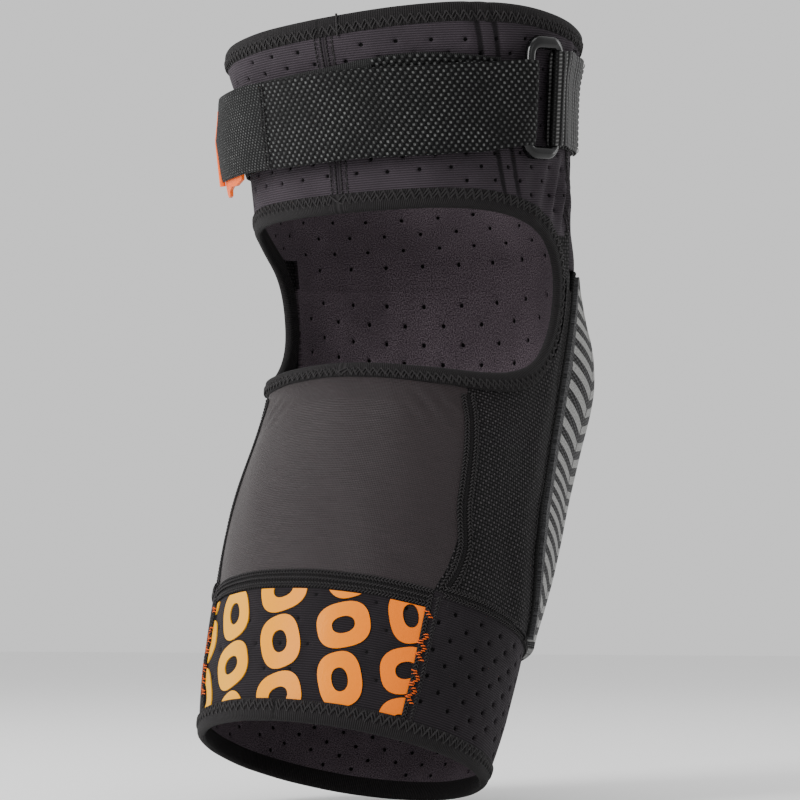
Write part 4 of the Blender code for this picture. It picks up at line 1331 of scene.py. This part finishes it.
def build_strap(looks):
    def first_level(around):
        return FIRST_LEVEL + FIRST_ARCH * math.exp(-(((around - 29) / 26) ** 2))

    height = SLEEVE + STRAP_GAP + WEBBING / 2
    rows = [flat_row(a, first_level(a), STRAP_HALF, height, WEBBING) for a in spread(*FIRST_RUN, 3)]
    made = ribbon("strap_first_run_webbing", rows, looks["first"])
    settle("webbing", "thigh_section", made, nodes=["strap_first_run"])
    height += WEBBING / 2 + 0.5
    rows = [flat_row(a, first_level(a), STRAP_HALF - 0.8, height, 0.9) for a in spread(*PILE, 2.5)]
    made = ribbon("strap_pile_webbing", rows, looks["webbing"])
    settle("webbing", "thigh_section", made, nodes=["strap_pile"])
    levels = spread(first_level(-120) - 16, first_level(-120) + 16, 2)
    box = []
    for at in (FIRST_RUN[0] + 4, FIRST_RUN[0] + 13):
        box += stitch_row([(at, v) for v in levels], 2.4, 1.9, 0, 0, 5.0, 0.3)
    settle("webbing", "thigh_section", threads("strap_anchor_stitches", box, looks["thread"], 0.26, leg))

    radius = RING_BAR + BAR_PLAY + WEBBING / 2
    last = RING_AT - bar_turn()
    rows = [tail_row(a, WEBBING / 2, WEBBING) for a in spread(HOOK_FROM, last - RAMP_TURN - 2, 2.5)]
    for around in spread(last - RAMP_TURN, last - 4, 2.5):
        share = 1 - (last - around) / RAMP_TURN
        level = STRAP_LEVEL + (STRAP_LEVEL_AT_RING - STRAP_LEVEL) * share
        half = STRAP_HALF + (STRAP_HALF_AT_RING - STRAP_HALF) * share
        rise = (RING_HEIGHT + radius - TAIL_HEIGHT - WEBBING / 2) * smooth(0, 1, share)
        rows.append(flat_row(around, level, half, TAIL_HEIGHT + WEBBING / 2 + rise, WEBBING))
    rows += bar_rows(-1, radius, WEBBING, 90, -90, STRAP_HALF_AT_RING, STRAP_LEVEL_AT_RING - RING_LEVEL)
    made = ribbon("strap_return_run_webbing", rows, looks["webbing"])
    settle("webbing", "strap_tail", made, nodes=["strap_return_run"])
    rows = [tail_row(a, WEBBING / 2, WEBBING) for a in spread(HOOK_TO, HOOK_FROM - 0.15, 2.5)]
    made = ribbon("strap_hook_end_webbing", rows, looks["hook_end"])
    settle("elastic", "strap_tail", made, nodes=["strap_hook_end"])
    rows = [tail_row(a, -0.85, 1.0, 0.9) for a in spread(HOOK_PATCH_TO, HOOK_FROM - 2, 2.5)]
    made = ribbon("strap_hook_patch_hooks", rows, looks["hook"])
    settle("hook", "strap_tail", made, nodes=["strap_hook_patch"])
    strokes = []
    for at in (HOOK_FROM + 0.1, HOOK_FROM - 1.3):
        line = [(at, v) for v in spread(STRAP_LEVEL - 16.5, STRAP_LEVEL + 16.5, 2)]
        for stroke in stitch_row(line, 2.0, 1.6, 8, 0, 0.0, 0.3):
            strokes.append([(a, v, float(tail_height(a, v)) + WEBBING + 0.12 + h) for a, v, h in stroke])
    settle("webbing", "strap_tail", threads("strap_end_stitches", strokes, looks["dark_thread"], 0.26, leg))
    build_tab(looks)


def build_tab(looks):
    """Orange pull tab behind the strap's end: a thin upright edge and a foot that hangs below the strap."""
    foot = STRAP_LEVEL - STRAP_HALF
    outline = np.array([
        (HOOK_TO - 1.2, STRAP_LEVEL + 9), (HOOK_TO - 1.9, STRAP_LEVEL - 4), (HOOK_TO - 2.2, foot - 2),
        (HOOK_TO - 0.6, foot - 5.2), (HOOK_TO + 2.4, foot - TAB_DROP), (HOOK_TO + 5.6, foot - 6.6),
        (HOOK_TO + 7.2, foot - 4.4), (HOOK_TO + 10.5, foot - 3.2), (HOOK_TO + 15.5, foot - 3.4),
        (TAB_FROM - 1.2, foot - 1.6), (TAB_FROM, foot + 2.0), (TAB_FROM - 1, foot + 9),
        (HOOK_TO + 4, STRAP_LEVEL + 2),
    ])
    flat, triangles, _, _ = cut(outline, step=1.6)
    a, v = flat.T
    base = np.array([float(tail_height(x, y)) for x, y in flat]) - 1.75
    base = base - 0.4 * np.clip((foot - v) / TAB_DROP, 0, 1)
    made = shell("pull_tab_moulded", flat, triangles, leg(a, v, base), leg(a, v, base + 1.4), looks["orange"])
    bevel = made.modifiers.new("soft_edges", "BEVEL")
    bevel.width = 0.35 * MM
    bevel.segments = 2
    bevel.limit_method = "ANGLE"
    bevel.angle_limit = math.radians(55)
    levels = spread(foot - 1.5, STRAP_LEVEL + 13, 2.0)
    share = (levels - levels[0]) / (levels[-1] - levels[0])
    turn = HOOK_TO - 1.2 + 0.6 * share
    height = np.array([float(tail_height(HOOK_TO, v)) for v in levels]) + 1.25
    path, out = leg(turn, levels, height), out_of_leg(turn, levels)
    lip = cord("pull_tab_lip", path, out, 0.62 - 0.25 * share, looks["orange"], levels, 0.6, 2.2)
    settle("tab_orange", "strap_tail", made, lip, nodes=["pull_tab"])


# ---------------------------------------------------------------- stage


def build_stage():
    low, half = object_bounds()[0][2] - 0.0006, 6
    mesh = bpy.data.meshes.new("floor")
    corners = [(-half, -half, low), (half, -half, low), (half, half, low), (-half, half, low)]
    mesh.from_pydata(corners, [], [(0, 1, 2, 3)])
    pale = bpy.data.materials.new("floor")
    pale.use_nodes = True
    shader = pale.node_tree.nodes["Principled BSDF"]
    shader.inputs["Base Color"].default_value = (0.9, 0.9, 0.9, 1)
    shader.inputs["Roughness"].default_value = 0.9
    mesh.materials.append(pale)
    floor = bpy.data.objects.new("floor", mesh)
    bpy.context.scene.collection.objects.link(floor)

    world = bpy.data.worlds.new("studio")
    bpy.context.scene.world = world
    world.use_nodes = True
    background = world.node_tree.nodes["Background"]
    background.inputs["Color"].default_value = (1, 1, 1, 1)
    background.inputs["Strength"].default_value = 0.9


def camera_axes():
    turn, rise = math.radians(VIEW_TURN), math.radians(VIEW_RISE)
    back = Vector((math.sin(turn) * math.cos(rise), -math.cos(turn) * math.cos(rise), math.sin(rise)))
    right = Vector((math.cos(turn), math.sin(turn), 0))
    return right, back.cross(right), back


def build_camera():
    right, up, back = camera_axes()
    data = bpy.data.cameras.new("view")
    data.sensor_width = 36
    data.lens = VIEW_LENS
    data.clip_start = 0.05
    made = bpy.data.objects.new("view", data)
    turn = Matrix((right, up, back)).transposed().to_4x4()
    place = right * VIEW_PLACE[0] + up * VIEW_PLACE[1] + back * VIEW_PLACE[2]
    made.matrix_world = Matrix.Translation(place) @ turn
    bpy.context.scene.collection.objects.link(made)
    bpy.context.scene.camera = made


def area_light(name, right_m, up_m, back_m, size, power):
    """Soft light aimed at the guard, placed in the view's own directions."""
    right, up, back = camera_axes()
    data = bpy.data.lights.new(name, "AREA")
    data.shape = "RECTANGLE"
    data.size, data.size_y = size
    data.energy = power
    made = bpy.data.objects.new(name, data)
    made.location = right * right_m + up * up_m + back * back_m
    made.rotation_euler = made.location.to_track_quat("Z", "Y").to_euler()
    bpy.context.scene.collection.objects.link(made)


def build_lights():
    area_light("key", -1.25, 0.7, 0.95, (0.6, 1.1), 38)
    area_light("fill", 0.6, 0.5, 1.4, (0.8, 0.8), 2)
    area_light("rim_right", 1.5, 0.4, -0.7, (0.4, 1.2), 5)
    area_light("rim_left", -1.5, 0.2, -0.5, (0.5, 1.2), 8)
    area_light("top", -0.2, 1.6, 0.2, (0.8, 0.8), 5)


def main():
    looks = make_looks()
    build_thigh(looks)
    build_window(looks)
    build_shin(looks)
    build_sides(looks)
    build_cover(looks)
    build_piping(looks)
    build_ring(looks)
    build_tape(looks)
    build_strap(looks)
    build_stage()
    build_camera()
    build_lights()


main()
